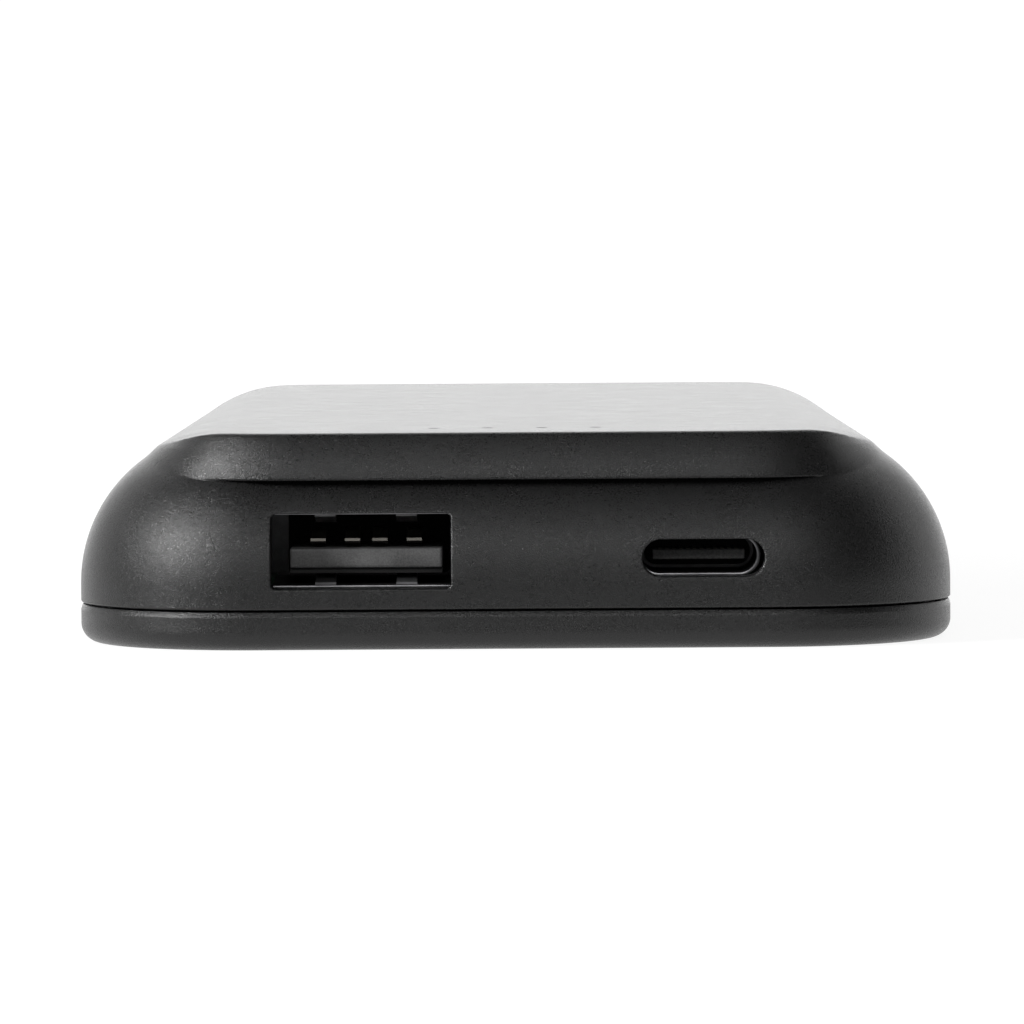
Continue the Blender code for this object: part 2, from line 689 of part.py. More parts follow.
def battery_pack():
    """Two pouch cells with their tape, foam, tabs, strips and leads."""
    half = WIDTH / 2 - dome_inset(STACK_HIGH, WALL) - CELL_SIDE_ROOM
    length = CELL_REAR - CELL_FRONT
    middle = (CELL_REAR + CELL_FRONT) / 2
    size = (2 * half, length, CELL_THICKNESS)
    lower = STACK_LOW + CELL_THICKNESS / 2
    upper = lower + CELL_THICKNESS + GAP
    box("cell_lower", size, (0, middle, lower), cell_foil(), CELL_EDGE)
    box("cell_upper", size, (0, middle, upper), cell_foil(), CELL_EDGE)
    pad_size = (2 * half * 0.6, length * 0.8)
    box("cell_tape", (*pad_size, TAPE_THICKNESS),
        (0, middle, FLOOR + GAP + TAPE_THICKNESS / 2),
        material("tape", (0.75, 0.75, 0.72), 0.6))
    box("cell_foam", (*pad_size, FOAM_THICKNESS),
        (0, middle, HEIGHT - WALL - GAP - FOAM_THICKNESS / 2),
        material("foam", (0.03, 0.03, 0.03), 0.9))
    strip_y = CELL_FRONT - GAP - TAB_SIZE[1] - GAP - STRIP_THICKNESS / 2
    strip_height = upper - lower + CELL_THICKNESS / 2
    for side, word in ((-1, "positive"), (1, "negative")):
        for level, height in (("lower", lower), ("upper", upper)):
            box(f"tab_{word}_{level}", TAB_SIZE,
                (side * TAB_X, CELL_FRONT - GAP - TAB_SIZE[1] / 2, height), nickel_strip())
        box(f"strip_{word}", (TAB_SIZE[0], STRIP_THICKNESS, strip_height),
            (side * TAB_X, strip_y, (lower + upper) / 2), nickel_strip())
    battery_lead("lead_positive", -TAB_X, strip_y, (0.35, 0.02, 0.02))
    battery_lead("lead_negative", TAB_X, strip_y, (0.015, 0.015, 0.015))


def battery_lead(name, across, strip_y, colour):
    """Short insulated lead from a strip over the board's edge to its pad."""
    start = Vector((across, strip_y - STRIP_THICKNESS / 2 - GAP, BUTTON_Z))
    end = Vector((across, start.y - LEAD_REACH, PART_SEAT))
    bend = LEAD_REACH
    points = []
    for step in range(9):
        angle = math.pi / 2 * step / 8
        points.append((across, start.y - bend * math.sin(angle),
                       end.z + (start.z - end.z) * math.cos(angle)))
    curve = bpy.data.curves.new(name, "CURVE")
    curve.dimensions = "3D"
    curve.bevel_depth = LEAD_DIAMETER / 2
    curve.bevel_resolution = 2
    curve.use_fill_caps = True
    line = curve.splines.new("POLY")
    line.points.add(len(points) - 1)
    for slot, point in zip(line.points, points):
        slot.co = (*point, 1.0)
    curve.materials.append(material(name, colour, 0.45))
    made = bpy.data.objects.new(name, curve)
    bpy.context.collection.objects.link(made)


def main():
    clear_scene()
    top_shell()
    bottom_cover()
    side_switch(side_button())
    usb_a_socket()
    usb_c_socket()
    main_board()
    board_parts()
    charge_lights()
    battery_pack()


main()
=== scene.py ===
"""Looks of a slim power bank: casing, sockets, lights, button and the parts inside."""

from __future__ import annotations

import logging
import math
from dataclasses import dataclass, field
from enum import Enum

import bmesh
import bpy
import numpy as np
from mathutils import Matrix, Vector


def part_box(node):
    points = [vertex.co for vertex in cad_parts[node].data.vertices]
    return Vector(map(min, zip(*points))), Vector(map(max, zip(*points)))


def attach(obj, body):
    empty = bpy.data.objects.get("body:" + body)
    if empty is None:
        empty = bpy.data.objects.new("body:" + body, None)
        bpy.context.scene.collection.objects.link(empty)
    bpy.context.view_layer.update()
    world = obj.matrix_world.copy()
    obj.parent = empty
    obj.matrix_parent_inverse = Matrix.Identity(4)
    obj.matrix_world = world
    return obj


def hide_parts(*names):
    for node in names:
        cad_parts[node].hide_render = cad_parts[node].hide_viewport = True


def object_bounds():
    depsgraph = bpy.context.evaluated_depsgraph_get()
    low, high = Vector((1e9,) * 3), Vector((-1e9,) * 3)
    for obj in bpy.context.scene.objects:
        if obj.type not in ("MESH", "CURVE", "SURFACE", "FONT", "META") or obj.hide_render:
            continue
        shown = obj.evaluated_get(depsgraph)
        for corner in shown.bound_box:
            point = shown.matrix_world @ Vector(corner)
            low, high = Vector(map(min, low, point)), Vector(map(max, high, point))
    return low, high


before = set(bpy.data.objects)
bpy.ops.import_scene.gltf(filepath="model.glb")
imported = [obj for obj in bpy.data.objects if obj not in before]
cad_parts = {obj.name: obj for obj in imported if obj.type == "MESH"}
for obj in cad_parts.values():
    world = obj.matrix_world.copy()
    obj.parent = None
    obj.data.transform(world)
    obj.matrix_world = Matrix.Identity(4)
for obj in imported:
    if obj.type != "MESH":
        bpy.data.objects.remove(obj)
CAD_BOX = [list(map(float, corner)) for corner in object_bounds()]

FRONT_Y = CAD_BOX[0][1]
LOG = logging.getLogger("power_bank")
MM = 0.001
WELD = 0.0005 * MM
FLAT = math.radians(35)
Ring = list[tuple[float, float, float]]


class Body(Enum):
    """The rigid bodies that the pieces ride on."""

    PACK = "pack"
    BUTTON = "button"


# ---------------------------------------------------------------- node tools


class Nodes:
    """Small helper that adds and links nodes in one tree."""

    def __init__(self, tree: bpy.types.NodeTree) -> None:
        """Keep the tree.

        Args:
            tree: The node tree that this helper adds to.
        """
        self.tree = tree

    def add(self, kind: str, settings: dict | None = None, **inputs: object) -> bpy.types.Node:
        """Add a node and fill its inputs.

        Args:
            kind: The node's type name.
            settings: Values for the node's own properties.
            **inputs: Values or output sockets by input name, spaces as underscores.

        Returns:
            The new node.
        """
        node = self.tree.nodes.new(kind)
        for name, value in (settings or {}).items():
            setattr(node, name, value)
        for name, value in inputs.items():
            self.feed(node, name.replace("_", " "), value)
        return node

    def feed(self, node: bpy.types.Node, name: str, value: object) -> None:
        """Set one input, or link an output socket to it.

        Args:
            node: The node that has the input.
            name: The input's name.
            value: A value or an output socket.
        """
        socket = node.inputs[name]
        if isinstance(value, bpy.types.NodeSocket):
            self.tree.links.new(value, socket)
        else:
            socket.default_value = value

    def math(self, operation: str, *values: object) -> bpy.types.NodeSocket:
        """Add a Math node.

        Args:
            operation: The Math node's operation.
            *values: Numbers or output sockets, in order.

        Returns:
            The result socket.
        """
        node = self.tree.nodes.new("ShaderNodeMath")
        node.operation = operation
        for socket, value in zip(node.inputs, values):
            if isinstance(value, bpy.types.NodeSocket):
                self.tree.links.new(value, socket)
            else:
                socket.default_value = value
        return node.outputs[0]

    def spread(self, value: bpy.types.NodeSocket, low: float, high: float,
               to_low: float = 0.0, to_high: float = 1.0) -> bpy.types.NodeSocket:
        """Map a value from one range to another, clamped.

        Args:
            value: The socket to map.
            low: Start of the source range.
            high: End of the source range.
            to_low: Start of the target range.
            to_high: End of the target range.

        Returns:
            The mapped socket.
        """
        node = self.tree.nodes.new("ShaderNodeMapRange")
        self.tree.links.new(value, node.inputs["Value"])
        node.inputs["From Min"].default_value = low
        node.inputs["From Max"].default_value = high
        node.inputs["To Min"].default_value = to_low
        node.inputs["To Max"].default_value = to_high
        return node.outputs["Result"]

    def blend(self, factor: object, first: object, second: object) -> bpy.types.NodeSocket:
        """Mix two colours.

        Args:
            factor: Number or socket, 0 for the first colour.
            first: RGBA values or a socket.
            second: RGBA values or a socket.

        Returns:
            The mixed colour.
        """
        node = self.tree.nodes.new("ShaderNodeMix")
        node.data_type = "RGBA"
        for index, value in ((0, factor), (6, first), (7, second)):
            if isinstance(value, bpy.types.NodeSocket):
                self.tree.links.new(value, node.inputs[index])
            else:
                node.inputs[index].default_value = value
        return node.outputs[2]


class EffectGroup:
    """A shader node group with named inputs and outputs, built once."""

    name = "effect"
    inputs: dict[str, float] = {}
    outputs: tuple[str, ...] = ("Mask",)

    def tree(self) -> bpy.types.NodeTree:
        """Return the group's tree, made on first use."""
        found = bpy.data.node_groups.get(self.name)
        if found:
            return found
        made = bpy.data.node_groups.new(self.name, "ShaderNodeTree")
        for name, value in self.inputs.items():
            socket = made.interface.new_socket(name, in_out="INPUT", socket_type="NodeSocketFloat")
            socket.default_value = value
        for name in self.outputs:
            made.interface.new_socket(name, in_out="OUTPUT", socket_type="NodeSocketFloat")
        nodes = Nodes(made)
        source = nodes.add("NodeGroupInput")
        target = nodes.add("NodeGroupOutput")
        for name, value in self.fill(nodes, source).items():
            nodes.feed(target, name, value)
        return made

    def fill(self, nodes: Nodes, source: bpy.types.Node) -> dict[str, bpy.types.NodeSocket]:
        """Build the inside of the group.

        Args:
            nodes: Helper for the group's tree.
            source: The group's input node.

        Returns:
            The socket for each output.
        """
        raise NotImplementedError

    def place(self, nodes: Nodes, **values: float) -> bpy.types.Node:
        """Put the group in a material.

        Args:
            nodes: Helper for the material's tree.
            **values: Input values by name, spaces as underscores.

        Returns:
            The group node.
        """
        node = nodes.add("ShaderNodeGroup", {"node_tree": self.tree()})
        for name, value in values.items():
            nodes.feed(node, name.replace("_", " "), value)
        return node


class SparkTexture(EffectGroup):
    """Fine pitted grain that a spark-eroded mould leaves on plastic."""

    name = "spark_texture"
    inputs = {"Pit Size": 0.18}
    outputs = ("Pits", "Patches")
    coarse_share = 0.72
    fine_ratio = 2.1
    patch_scale = 420.0

    def fill(self, nodes: Nodes, source: bpy.types.Node) -> dict[str, bpy.types.NodeSocket]:
        """Build the pits and a slow variation.

        Args:
            nodes: Helper for the group's tree.
            source: The group's input node.

        Returns:
            Pit mask and slow patches.
        """
        place = nodes.add("ShaderNodeTexCoord").outputs["Object"]
        scale = nodes.math("DIVIDE", 1.0 / MM, source.outputs["Pit Size"])
        coarse = nodes.add("ShaderNodeTexNoise", Vector=place, Scale=scale, Detail=2.0,
                           Roughness=0.6).outputs["Fac"]
        fine_scale = nodes.math("MULTIPLY", scale, self.fine_ratio)
        cells = nodes.add("ShaderNodeTexVoronoi", {"feature": "SMOOTH_F1"}, Vector=place,
                          Scale=fine_scale, Smoothness=0.7).outputs["Distance"]
        mixed = nodes.math("ADD", nodes.math("MULTIPLY", coarse, self.coarse_share),
                           nodes.math("MULTIPLY", cells, 1.0 - self.coarse_share))
        patches = nodes.add("ShaderNodeTexNoise", Vector=place, Scale=self.patch_scale,
                            Detail=3.0, Roughness=0.55).outputs["Fac"]
        return {"Pits": nodes.spread(mixed, 0.36, 0.62),
                "Patches": nodes.spread(patches, 0.3, 0.7)}


class EdgeWear(EffectGroup):
    """Edges rubbed a little smoother and paler by handling."""

    name = "edge_wear"
    inputs = {"Width": 0.25, "Break Up": 0.5}
    outputs = ("Mask",)

    def fill(self, nodes: Nodes, source: bpy.types.Node) -> dict[str, bpy.types.NodeSocket]:
        """Build the mask from how far the rounded normal leans away.

        Args:
            nodes: Helper for the group's tree.
            source: The group's input node.

        Returns:
            The wear mask.
        """
        width = nodes.math("MULTIPLY", source.outputs["Width"], MM)
        bevel = nodes.add("ShaderNodeBevel", {"samples": 4}, Radius=width).outputs["Normal"]
        normal = nodes.add("ShaderNodeNewGeometry").outputs["Normal"]
        dot = nodes.add("ShaderNodeVectorMath", {"operation": "DOT_PRODUCT"})
        nodes.tree.links.new(bevel, dot.inputs[0])
        nodes.tree.links.new(normal, dot.inputs[1])
        lean = nodes.spread(dot.outputs["Value"], 0.995, 0.85)
        place = nodes.add("ShaderNodeTexCoord").outputs["Object"]
        noise = nodes.add("ShaderNodeTexNoise", Vector=place, Scale=900.0,
                          Detail=3.0).outputs["Fac"]
        missing = nodes.math("MULTIPLY", source.outputs["Break Up"], 0.6)
        broken = nodes.math("SUBTRACT", noise, missing)
        return {"Mask": nodes.math("MULTIPLY", lean, nodes.spread(broken, 0.0, 0.35))}


class RolledMetal(EffectGroup):
    """Fine lines and soft blotches of rolled or brushed sheet."""

    name = "rolled_metal"
    inputs = {"Line Size": 0.05, "Stretch": 30.0}
    outputs = ("Lines", "Blotches")

    def fill(self, nodes: Nodes, source: bpy.types.Node) -> dict[str, bpy.types.NodeSocket]:
        """Build stretched noise along Y and a slow cloud.

        Args:
            nodes: Helper for the group's tree.
            source: The group's input node.

        Returns:
            Line and blotch values.
        """
        place = nodes.add("ShaderNodeTexCoord").outputs["Object"]
        stretch = nodes.add("ShaderNodeCombineXYZ", X=1.0, Z=1.0)
        nodes.feed(stretch, "Y", nodes.math("DIVIDE", 1.0, source.outputs["Stretch"]))
        drawn = nodes.add("ShaderNodeVectorMath", {"operation": "MULTIPLY"})
        nodes.tree.links.new(place, drawn.inputs[0])
        nodes.tree.links.new(stretch.outputs[0], drawn.inputs[1])
        scale = nodes.math("DIVIDE", 1.0 / MM, source.outputs["Line Size"])
        lines = nodes.add("ShaderNodeTexNoise", Vector=drawn.outputs[0], Scale=scale,
                          Detail=3.0).outputs["Fac"]
        blotches = nodes.add("ShaderNodeTexNoise", Vector=place, Scale=400.0,
                             Detail=2.0).outputs["Fac"]
        return {"Lines": nodes.spread(lines, 0.3, 0.7),
                "Blotches": nodes.spread(blotches, 0.35, 0.65)}


# ------------------------------------------------------------------ finishes


@dataclass(frozen=True)
class Finish:
    """A surface finish that becomes one material."""

    name: str
    slot: str

    def material(self) -> bpy.types.Material:
        """Return the material, made on first use."""
        found = bpy.data.materials.get(self.name)
        if found:
            return found
        made = bpy.data.materials.new(self.name)
        made.use_nodes = True
        nodes = Nodes(made.node_tree)
        self.dress(nodes, made.node_tree.nodes["Principled BSDF"])
        return made

    def dress(self, nodes: Nodes, shader: bpy.types.Node) -> None:
        """Connect the finish to its shader.

        Args:
            nodes: Helper for the material's tree.
            shader: The Principled BSDF node.
        """
        raise NotImplementedError

    @staticmethod
    def emboss(nodes: Nodes, shader: bpy.types.Node, height: bpy.types.NodeSocket,
               depth: float, strength: float) -> None:
        """Raise the surface by a height value.

        Args:
            nodes: Helper for the material's tree.
            shader: The Principled BSDF node.
            height: Height over the surface, from 0 to 1.
            depth: Full height in millimetres.
            strength: How much of it shows.
        """
        bump = nodes.add("ShaderNodeBump", Strength=strength, Distance=depth * MM, Height=height)
        nodes.feed(shader, "Normal", bump.outputs["Normal"])


@dataclass(frozen=True)
class TexturedPlastic(Finish):
    """Black moulded plastic with a spark-eroded grain."""

    low: float = 0.003
    high: float = 0.014
    rough_low: float = 0.25
    rough_high: float = 0.28
    pit_mm: float = 0.115
    depth_mm: float = 0.014
    pit_rough: float = 0.05
    wear: float = 0.35
    wear_mm: float = 0.25
    wear_break: float = 0.5
    wear_gain: float = 2.2
    wear_polish: float = 0.15
    blue: float = 1.02

    def dress(self, nodes: Nodes, shader: bpy.types.Node) -> None:
        """Connect grain, tone patches and edge wear.

        Args:
            nodes: Helper for the material's tree.
            shader: The Principled BSDF node.
        """
        grain = SparkTexture().place(nodes, Pit_Size=self.pit_mm)
        wear = EdgeWear().place(nodes, Width=self.wear_mm, Break_Up=self.wear_break)
        dark = (self.low, self.low, self.low * self.blue, 1.0)
        pale = (self.high, self.high, self.high * self.blue, 1.0)
        tone = nodes.blend(grain.outputs["Pits"], dark, pale)
        rubbed = (*[self.high * self.wear_gain] * 3, 1.0)
        worn = nodes.math("MULTIPLY", wear.outputs["Mask"], self.wear)
        nodes.feed(shader, "Base Color", nodes.blend(worn, tone, rubbed))
        rough = nodes.spread(grain.outputs["Patches"], 0.0, 1.0, self.rough_low, self.rough_high)
        pitted = nodes.math("MULTIPLY", grain.outputs["Pits"], self.pit_rough)
        polished = nodes.math("MULTIPLY", worn, self.wear_polish)
        rough = nodes.math("SUBTRACT", nodes.math("ADD", rough, pitted), polished)
        nodes.feed(shader, "Roughness", rough)
        self.emboss(nodes, shader, grain.outputs["Pits"], self.depth_mm, 1.0)


@dataclass(frozen=True)
class PlatedMetal(Finish):
    """Plated or rolled sheet metal."""

    colour: tuple[float, float, float] = (0.21, 0.21, 0.215)
    dull: tuple[float, float, float] = (0.13, 0.13, 0.135)
    rough: float = 0.33
    line_mm: float = 0.05
    depth_mm: float = 0.002

    def dress(self, nodes: Nodes, shader: bpy.types.Node) -> None:
        """Connect rolling lines and blotches.

        Args:
            nodes: Helper for the material's tree.
            shader: The Principled BSDF node.
        """
        rolled = RolledMetal().place(nodes, Line_Size=self.line_mm)
        lines = rolled.outputs["Lines"]
        nodes.feed(shader, "Metallic", 1.0)
        nodes.feed(shader, "Base Color", nodes.blend(rolled.outputs["Blotches"],
                                                     (*self.dull, 1.0), (*self.colour, 1.0)))
        nodes.feed(shader, "Roughness", nodes.spread(lines, 0.0, 1.0, self.rough * 0.8,
                                                     self.rough * 1.35))
        self.emboss(nodes, shader, lines, self.depth_mm, 0.6)


@dataclass(frozen=True)
class MouldedResin(Finish):
    """Plain moulded, pressed or cast material with a soft mottle."""

    colour: tuple[float, float, float] = (0.012, 0.012, 0.012)
    second: tuple[float, float, float] = (0.02, 0.02, 0.02)
    rough: float = 0.4
    speck_mm: float = 0.08
    depth_mm: float = 0.004
    transmission: float = 0.0

    def dress(self, nodes: Nodes, shader: bpy.types.Node) -> None:
        """Connect mottle, roughness and a shallow grain.

        Args:
            nodes: Helper for the material's tree.
            shader: The Principled BSDF node.
        """
        grain = SparkTexture().place(nodes, Pit_Size=self.speck_mm)
        pits, patches = grain.outputs["Pits"], grain.outputs["Patches"]
        mix = nodes.math("MULTIPLY", nodes.math("ADD", pits, patches), 0.5)
        nodes.feed(shader, "Base Color", nodes.blend(mix, (*self.colour, 1.0),
                                                     (*self.second, 1.0)))
        nodes.feed(shader, "Roughness", nodes.spread(patches, 0.0, 1.0, self.rough * 0.85,
                                                     self.rough * 1.2))
        nodes.feed(shader, "Transmission Weight", self.transmission)
        self.emboss(nodes, shader, pits, self.depth_mm, 0.5)


@dataclass(frozen=True)
class SolderMask(Finish):
    """Green coated laminate with the faint weave and copper runs under it."""

    coating: tuple[float, float, float] = (0.010, 0.075, 0.030)
    copper: tuple[float, float, float] = (0.030, 0.150, 0.055)
    glass: tuple[float, float, float] = (0.012, 0.085, 0.035)
    coat: float = 0.4
    copper_mm: float = 0.02

    def dress(self, nodes: Nodes, shader: bpy.types.Node) -> None:
        """Connect copper runs, weave and coat.

        Args:
            nodes: Helper for the material's tree.
            shader: The Principled BSDF node.
        """
        place = nodes.add("ShaderNodeTexCoord").outputs["Object"]
        runs = nodes.add("ShaderNodeTexBrick", {"offset": 0.35}, Vector=place, Scale=420.0,
                         Mortar_Size=0.06, Mortar_Smooth=0.2, Bias=0.0, Brick_Width=1.3,
                         Row_Height=0.45).outputs["Fac"]
        weave = nodes.add("ShaderNodeTexVoronoi", {"distance": "CHEBYCHEV"}, Vector=place,
                          Scale=2500.0).outputs["Distance"]
        base = nodes.blend(runs, (*self.coating, 1.0), (*self.copper, 1.0))
        tone = nodes.blend(nodes.spread(weave, 0.0, 0.6), base, (*self.glass, 1.0))
        nodes.feed(shader, "Base Color", tone)
        nodes.feed(shader, "Roughness", nodes.spread(weave, 0.0, 0.6, 0.26, 0.36))
        nodes.feed(shader, "Coat Weight", self.coat)
        self.emboss(nodes, shader, runs, self.copper_mm, 0.4)


CASING = TexturedPlastic("casing_black", "casing_plastic")
BUTTON = TexturedPlastic("button_black", "button_plastic", low=0.006, high=0.011)
STEEL = PlatedMetal("socket_steel", "steel_sheet")
SPRING = PlatedMetal("spring_steel", "steel_sheet", (0.52, 0.52, 0.53), (0.40, 0.40, 0.41), 0.36)
SCREW = PlatedMetal("screw_zinc", "steel_sheet", (0.58, 0.58, 0.60), (0.45, 0.45, 0.47), 0.3)
GOLD = PlatedMetal("contact_gold", "gold_contact", (0.25, 0.24, 0.215), (0.19, 0.18, 0.16), 0.35)
NICKEL = PlatedMetal("nickel_strip", "nickel_strip", (0.68, 0.65, 0.58), (0.52, 0.50, 0.45), 0.3)
FOIL = PlatedMetal("cell_foil", "cell_foil", (0.62, 0.63, 0.66), (0.50, 0.51, 0.54), 0.34, 0.4)
RESIN = MouldedResin("black_resin", "black_resin")
TONGUE = MouldedResin("tongue_resin", "black_resin", (0.06, 0.06, 0.06), (0.17, 0.17, 0.17),
                      0.5, 0.16)
CLEAR = MouldedResin("smoked_guide", "clear_plastic", (0.07, 0.07, 0.08), (0.11, 0.11, 0.12), 0.25,
                     0.6, 0.002, transmission=0.5)
LED = MouldedResin("led_resin", "led_resin", (0.82, 0.80, 0.66), (0.9, 0.88, 0.78), 0.3)
FERRITE = MouldedResin("ferrite_grey", "ferrite", (0.045, 0.045, 0.05), (0.09, 0.09, 0.095), 0.6)
CERAMIC = MouldedResin("capacitor_tan", "capacitor_ceramic", (0.38, 0.28, 0.19),
                       (0.47, 0.37, 0.26), 0.5)
TAPE = MouldedResin("tape_white", "tape", (0.68, 0.68, 0.65), (0.8, 0.8, 0.77), 0.6, 0.5)
FOAM = MouldedResin("foam_black", "foam", (0.02, 0.02, 0.02), (0.05, 0.05, 0.05), 0.9, 0.35, 0.12)
RED = MouldedResin("lead_red", "lead_red", (0.34, 0.015, 0.012), (0.45, 0.03, 0.02), 0.45)
BLACK = MouldedResin("lead_black", "lead_black", (0.012, 0.012, 0.012), (0.02, 0.02, 0.02), 0.45)
MASK = SolderMask("solder_mask", "board_laminate")


# ------------------------------------------------------------------- meshes


def quarter_turn(steps: int) -> list[tuple[float, float]]:
    """Sine and cosine at even steps over a quarter turn, both ends included.

    Args:
        steps: Number of steps.

    Returns:
        One pair for each point.
    """
    angles = [math.pi / 2 * step / steps for step in range(steps + 1)]
    return [(math.sin(angle), math.cos(angle)) for angle in angles]


def shade(data: bpy.types.Mesh, crease: float = FLAT) -> None:
    """Shade a mesh smooth, with its sharp edges kept.

    Args:
        data: The mesh.
        crease: Edges sharper than this angle stay sharp.
    """
    data.shade_smooth()
    data.set_sharp_from_angle(angle=crease)


def new_piece(name: str, mesh: bmesh.types.BMesh, finish: Finish, crease: float = FLAT
              ) -> bpy.types.Object:
    """Turn a bmesh into a dressed, smooth-shaded object.

    Args:
        name: The piece's name.
        mesh: The geometry, which is used up.
        finish: The finish it wears.
        crease: Edges sharper than this angle stay sharp.

    Returns:
        The new object.
    """
    data = bpy.data.meshes.new(name)
    mesh.to_mesh(data)
    mesh.free()
    data.materials.append(finish.material())
    shade(data, crease)
    made = bpy.data.objects.new(name, data)
    bpy.context.scene.collection.objects.link(made)
    return made


def face_outward(mesh: bmesh.types.BMesh) -> None:
    """Turn the faces of a closed mesh outward.

    Args:
        mesh: The mesh, changed in place.
    """
    bmesh.ops.recalc_face_normals(mesh, faces=mesh.faces)
    if mesh.calc_volume(signed=True) < 0:
        bmesh.ops.reverse_faces(mesh, faces=mesh.faces)


def loft(rings: list[Ring]) -> bmesh.types.BMesh:
    """Skin rings that have equal numbers of points, and cap both ends.

    Args:
        rings: The rings in order.

    Returns:
        The closed mesh.
    """
    mesh = bmesh.new()
    loops = [[mesh.verts.new(point) for point in ring] for ring in rings]
    count = len(rings[0])
    for first, second in zip(loops, loops[1:]):
        for here in range(count):
            after = (here + 1) % count
            mesh.faces.new((first[here], first[after], second[after], second[here]))
    mesh.faces.new(list(reversed(loops[0])))
    mesh.faces.new(loops[-1])
    bmesh.ops.remove_doubles(mesh, verts=mesh.verts, dist=WELD)
    face_outward(mesh)
    return mesh


def rounded_outline(half_x: float, half_z: float, radius: float, steps: int = 8,
                    between: int = 0) -> list[tuple[float, float]]:
    """Outline of a rounded rectangle.

    Args:
        half_x: Half its width.
        half_z: Half its height.
        radius: Its corner radius.
        steps: Pieces in each corner.
        between: Extra points along each straight side.

    Returns:
        The counter-clockwise points.
    """
    points = []
    for corner, (side_x, side_z) in enumerate(((1, 1), (-1, 1), (-1, -1), (1, -1))):
        for step in range(steps + 1):
            angle = math.pi / 2 * (corner + step / steps)
            points.append((side_x * (half_x - radius) + radius * math.cos(angle),
                           side_z * (half_z - radius) + radius * math.sin(angle)))
    if not between:
        return points
    filled = []
    for index, point in enumerate(points):
        filled.append(point)
        if index % (steps + 1) == steps:
            after = points[(index + 1) % len(points)]
            for step in range(1, between + 1):
                share = step / (between + 1)
                filled.append((point[0] + (after[0] - point[0]) * share,
                               point[1] + (after[1] - point[1]) * share))
    return filled


def bent_strip(across: float, path: list[tuple[float, float]], width: float, thickness: float
               ) -> bmesh.types.BMesh:
    """Flat strip bent along a path in a plane of constant X.

    Args:
        across: X of the strip's middle.
        path: Y and Z of its middle line.
        width: Its width along X.
        thickness: Its thickness.

    Returns:
        The closed strip.
    """
    rings = []
    for index, (y, z) in enumerate(path):
        before, after = path[max(index - 1, 0)], path[min(index + 1, len(path) - 1)]
        way = Vector((0.0, after[0] - before[0], after[1] - before[1])).normalized()
        side = Vector((0.0, -way.z, way.y)) * thickness / 2
        middle, half = Vector((across, y, z)), Vector((width / 2, 0.0, 0.0))
        rings.append([tuple(middle - half - side), tuple(middle + half - side),
                      tuple(middle + half + side), tuple(middle - half + side)])
    return loft(rings)


def sheet_cup(low: Vector, high: Vector, corner: float, sheet: float, rim: float
              ) -> bmesh.types.BMesh:
    """Drawn sheet-metal cup that is open towards -Y.

    Args:
        low: Lower corner of its box.
        high: Upper corner of its box.
        corner: Outer corner radius of its section.
        sheet: Sheet thickness.
        rim: Rounding of the open rim.

    Returns:
        The closed cup.
    """
    centre, half = (low + high) / 2, (high - low) / 2
    rows = [(0.0, high.y), (0.0, low.y + rim), (rim * 0.3, low.y + rim * 0.3), (rim, low.y),
            (sheet - rim, low.y), (sheet - rim * 0.3, low.y + rim * 0.3), (sheet, low.y + rim),
            (sheet, high.y - sheet)]
    rings = []
    for inset, depth in rows:
        points = rounded_outline(half.x - inset, half.z - inset, corner - inset, 12)
        rings.append([(centre.x + x, depth, centre.z + z) for x, z in points])
    return loft(rings)


def soft_block(low: Vector, high: Vector, corner: float, nose: float) -> bmesh.types.BMesh:
    """Moulded block with rounded long edges and a chamfered front.

    Args:
        low: Lower corner of its box.
        high: Upper corner of its box.
        corner: Radius of its long edges.
        nose: Chamfer round its front face.

    Returns:
        The closed block.
    """
    centre, half = (low + high) / 2, (high - low) / 2
    rings = []
    for inset, depth in ((nose, low.y), (nose * 0.3, low.y + nose * 0.3), (0.0, low.y + nose),
                         (0.0, high.y)):
        points = rounded_outline(half.x - inset, half.z - inset,
                                 max(corner - inset, 0.02 * MM), 6)
        rings.append([(centre.x + x, depth, centre.z + z) for x, z in points])
    return loft(rings)


def cut(target: bpy.types.Object, tool: bmesh.types.BMesh) -> None:
    """Cut a closed tool out of a piece, for good.

    Args:
        target: The piece that is cut.
        tool: The cutter, which is used up.
    """
    data = bpy.data.meshes.new("cutter")
    tool.to_mesh(data)
    tool.free()
    cutter = bpy.data.objects.new("cutter", data)
    bpy.context.scene.collection.objects.link(cutter)
    step = target.modifiers.new("cut", "BOOLEAN")
    step.operation = "DIFFERENCE"
    step.solver = "MANIFOLD"
    step.object = cutter
    graph = bpy.context.evaluated_depsgraph_get()
    result = bpy.data.meshes.new_from_object(target.evaluated_get(graph))
    target.modifiers.clear()
    old = target.data
    target.data = result
    bpy.data.meshes.remove(old)
    bpy.data.objects.remove(cutter)
    bpy.data.meshes.remove(data)


def settle(piece: bpy.types.Object, body: Body, finish: Finish, *nodes: str) -> None:
    """Hand a finished piece to the frame and report it.

    Args:
        piece: The piece.
        body: The body it rides on.
        finish: Not used.
        *nodes: The CAD nodes it stands for.
    """
    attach(piece, body.value)
    if nodes:
        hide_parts(*nodes)
    LOG.info("%s: %d faces", piece.name, len(piece.data.polygons))


def add_piece(name: str, mesh: bmesh.types.BMesh, finish: Finish, *nodes: str) -> None:
    """Make a piece of the pack's body and hand it to the frame.

    Args:
        name: The piece's name.
        mesh: The geometry, which is used up.
        finish: The finish it wears.
        *nodes: The CAD nodes it stands for.
    """
    settle(new_piece(name, mesh, finish), Body.PACK, finish, *nodes)


# ------------------------------------------------------------------- casing


